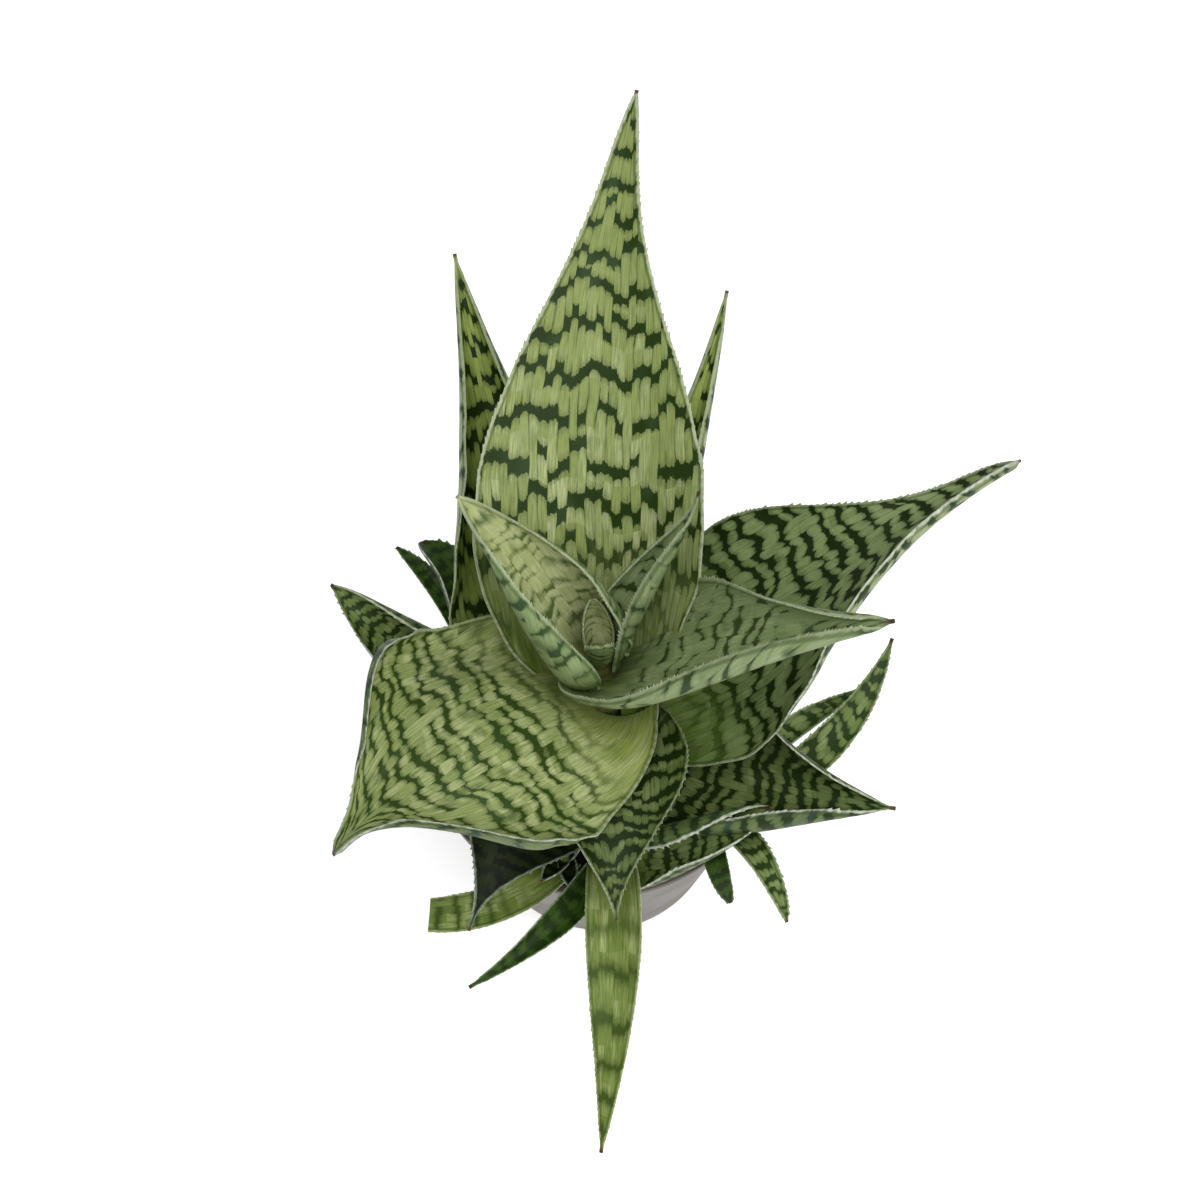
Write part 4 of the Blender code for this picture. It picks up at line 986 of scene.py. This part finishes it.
radius = (pot_radius(SOIL_LEVEL) - POT_WALL - SOIL_GAP) * np.linspace(0, 1, SOIL_RINGS)
radius[0] = 0.001
sides = [(pot_radius(FLOOR + 2) - POT_WALL - SOIL_GAP - 0.3, FLOOR + SOIL_GAP)] + foot(FLOOR + SOIL_GAP)
profile = [(r, SOIL_LEVEL) for r in radius] + sides
points, faces = turned(profile, SOIL_STEPS)
top = np.arange(len(points)) < SOIL_RINGS * SOIL_STEPS
lumpy = soil_height(points[:, 0] / MM, points[:, 1] / MM) * MM
points[top, 2] = lumpy[top]
mix = make_piece("fine_soil", points, faces, MIX, 60)
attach(mix, "root")
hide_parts("soil")
print("soil faces:", len(mix.data.polygons))

# %% Crumbs
CRUMBS = 900
GOLDEN = (1 + math.sqrt(5)) / 2


def crumbs(count, seed):
    """Icosahedra scattered over the disc, each stretched, turned flat or upright, and roughened."""
    dice = np.random.default_rng(seed)
    low, high = -1, 1
    corners = np.array([(0, a, b * GOLDEN) for a in (low, high) for b in (low, high)])
    stone = np.concatenate([corners, np.roll(corners, 1, 1), np.roll(corners, 2, 1)]) / math.hypot(1, GOLDEN)
    gaps = np.linalg.norm(stone[:, None] - stone[None], axis=2)
    near = (gaps > 0) & (gaps < 1.1)
    trios = np.argwhere(near[:, :, None] & near[:, None, :] & near[None])
    trios = trios[(trios[:, 0] < trios[:, 1]) & (trios[:, 1] < trios[:, 2])]
    normals = np.cross(stone[trios[:, 1]] - stone[trios[:, 0]], stone[trios[:, 2]] - stone[trios[:, 0]])
    flip = (normals * stone[trios[:, 0]]).sum(1) < 0
    trios[flip] = trios[flip][:, ::-1]
    rim = pot_radius(SOIL_LEVEL) - POT_WALL - 1.6
    spot, turn = rim * np.sqrt(dice.random(count)), dice.uniform(0, 2 * math.pi, count)
    x, y = spot * np.cos(turn), spot * np.sin(turn)
    size = 0.35 + 1.1 * dice.random(count) ** 3
    shape = dice.uniform(0.55, 1.3, (count, 1, 3)) * size[:, None, None]
    cloud = stone[None] * shape * dice.uniform(0.8, 1.2, (count, 12, 1))
    spin = dice.uniform(0, 2 * math.pi, count)[:, None]
    turned_x = cloud[..., 0] * np.cos(spin) - cloud[..., 1] * np.sin(spin)
    turned_y = cloud[..., 0] * np.sin(spin) + cloud[..., 1] * np.cos(spin)
    height = soil_height(x, y)[:, None] + cloud[..., 2] + 0.3 * size[:, None]
    points = np.stack([turned_x + x[:, None], turned_y + y[:, None], height], -1).reshape(-1, 3)
    faces = (trios[None] + 12 * np.arange(count)[:, None, None]).reshape(-1, 3)
    return points * MM, faces


points, faces = crumbs(CRUMBS, 5)
loose = make_piece("soil_crumbs", points, faces, MIX, 50)
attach(loose, "root")
print("crumb faces:", len(loose.data.polygons))

# %% [markdown]
# ## Stems
# The short stems are all but hidden under the leaves. Their CAD shapes are right, so they stay and
# only get a fleshy skin: dull yellow-green with brown scars where old leaves were.

# %% Stem skin
def stem_skin():
    """Dull yellow-green flesh with brown rings and flecks."""
    made, w, shader = new_material("stem_skin")
    place = w.add("ShaderNodeTexCoord", out=3)
    z = w.split(place)[2]
    flesh_marks = grain(w, place, fleck_scale=600.0, fleck_limit=0.6, cloud_scale=120.0)
    skin = w.blend(flesh_marks["Cloud"], colour(104, 112, 56), colour(126, 128, 70))
    rings = w.math("SINE", w.plus(w.times(z, 1700.0), w.swing(place, 2.0, 150.0)))
    skin = w.blend(w.times(w.ramp(rings, 0.6, 0.95), 0.7), skin, colour(92, 70, 44))
    skin = w.blend(w.times(flesh_marks["Fleck"], 0.4), skin, colour(78, 62, 40))
    w.tree.links.new(skin, shader.inputs["Base Color"])
    w.tree.links.new(w.between(flesh_marks["Cloud"], 0.55, 0.75), shader.inputs["Roughness"])
    bump = w.add("ShaderNodeBump", {"Height": flesh_marks["Height"], "Strength": 0.5, "Distance": 0.0003})
    w.tree.links.new(bump, shader.inputs["Normal"])
    return made


STEM = stem_skin()
for name in ("stem_main", "offset_front_stem", "offset_right_stem", "offset_left_stem"):
    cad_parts[name].data.materials.clear()
    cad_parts[name].data.materials.append(STEM)
print("stems finished: 4")

# %% [markdown]
# ## Floor and light
# The photo was taken on white under broad, soft light, so hardly any shadow shows. A plain pale
# floor, a large lamp above, a smaller one on the right and an even pale sky give the same calm light.

# %% Floor
FLOOR_HALF = 1.5
material, w, shader = new_material("floor_white")
shader.inputs["Base Color"].default_value = (0.93, 0.93, 0.93, 1)
shader.inputs["Roughness"].default_value = 0.9
shader.inputs["Emission Color"].default_value = (1, 1, 1, 1)
shader.inputs["Emission Strength"].default_value = 0.5
corners = FLOOR_HALF * np.array([(-1, -1, 0), (1, -1, 0), (1, 1, 0), (-1, 1, 0)])
floor = make_piece("floor", corners, np.array([[0, 1, 2, 3]]), material)

# %% Light
def soft_lamp(name, energy, size, place, aim=(0, 0, 0.1)):
    """A square lamp that looks at the plant."""
    lamp = bpy.data.lights.new(name, "AREA")
    lamp.energy, lamp.size = energy, size
    holder = bpy.data.objects.new(name, lamp)
    holder.location = place
    holder.rotation_euler = (Vector(aim) - Vector(place)).to_track_quat("-Z", "Y").to_euler()
    bpy.context.scene.collection.objects.link(holder)


soft_lamp("lamp_above", 6.5, 0.9, (0.0, -0.25, 1.15))
soft_lamp("lamp_right", 3.0, 0.6, (0.6, -0.35, 0.75))
world = bpy.data.worlds.new("sky")
world.use_nodes = True
world.node_tree.nodes["Background"].inputs[0].default_value = (0.96, 0.98, 1.0, 1)
world.node_tree.nodes["Background"].inputs[1].default_value = 0.36
bpy.context.scene.world = world
bpy.context.scene.view_settings.view_transform = "Standard"
print("lamps: 2")
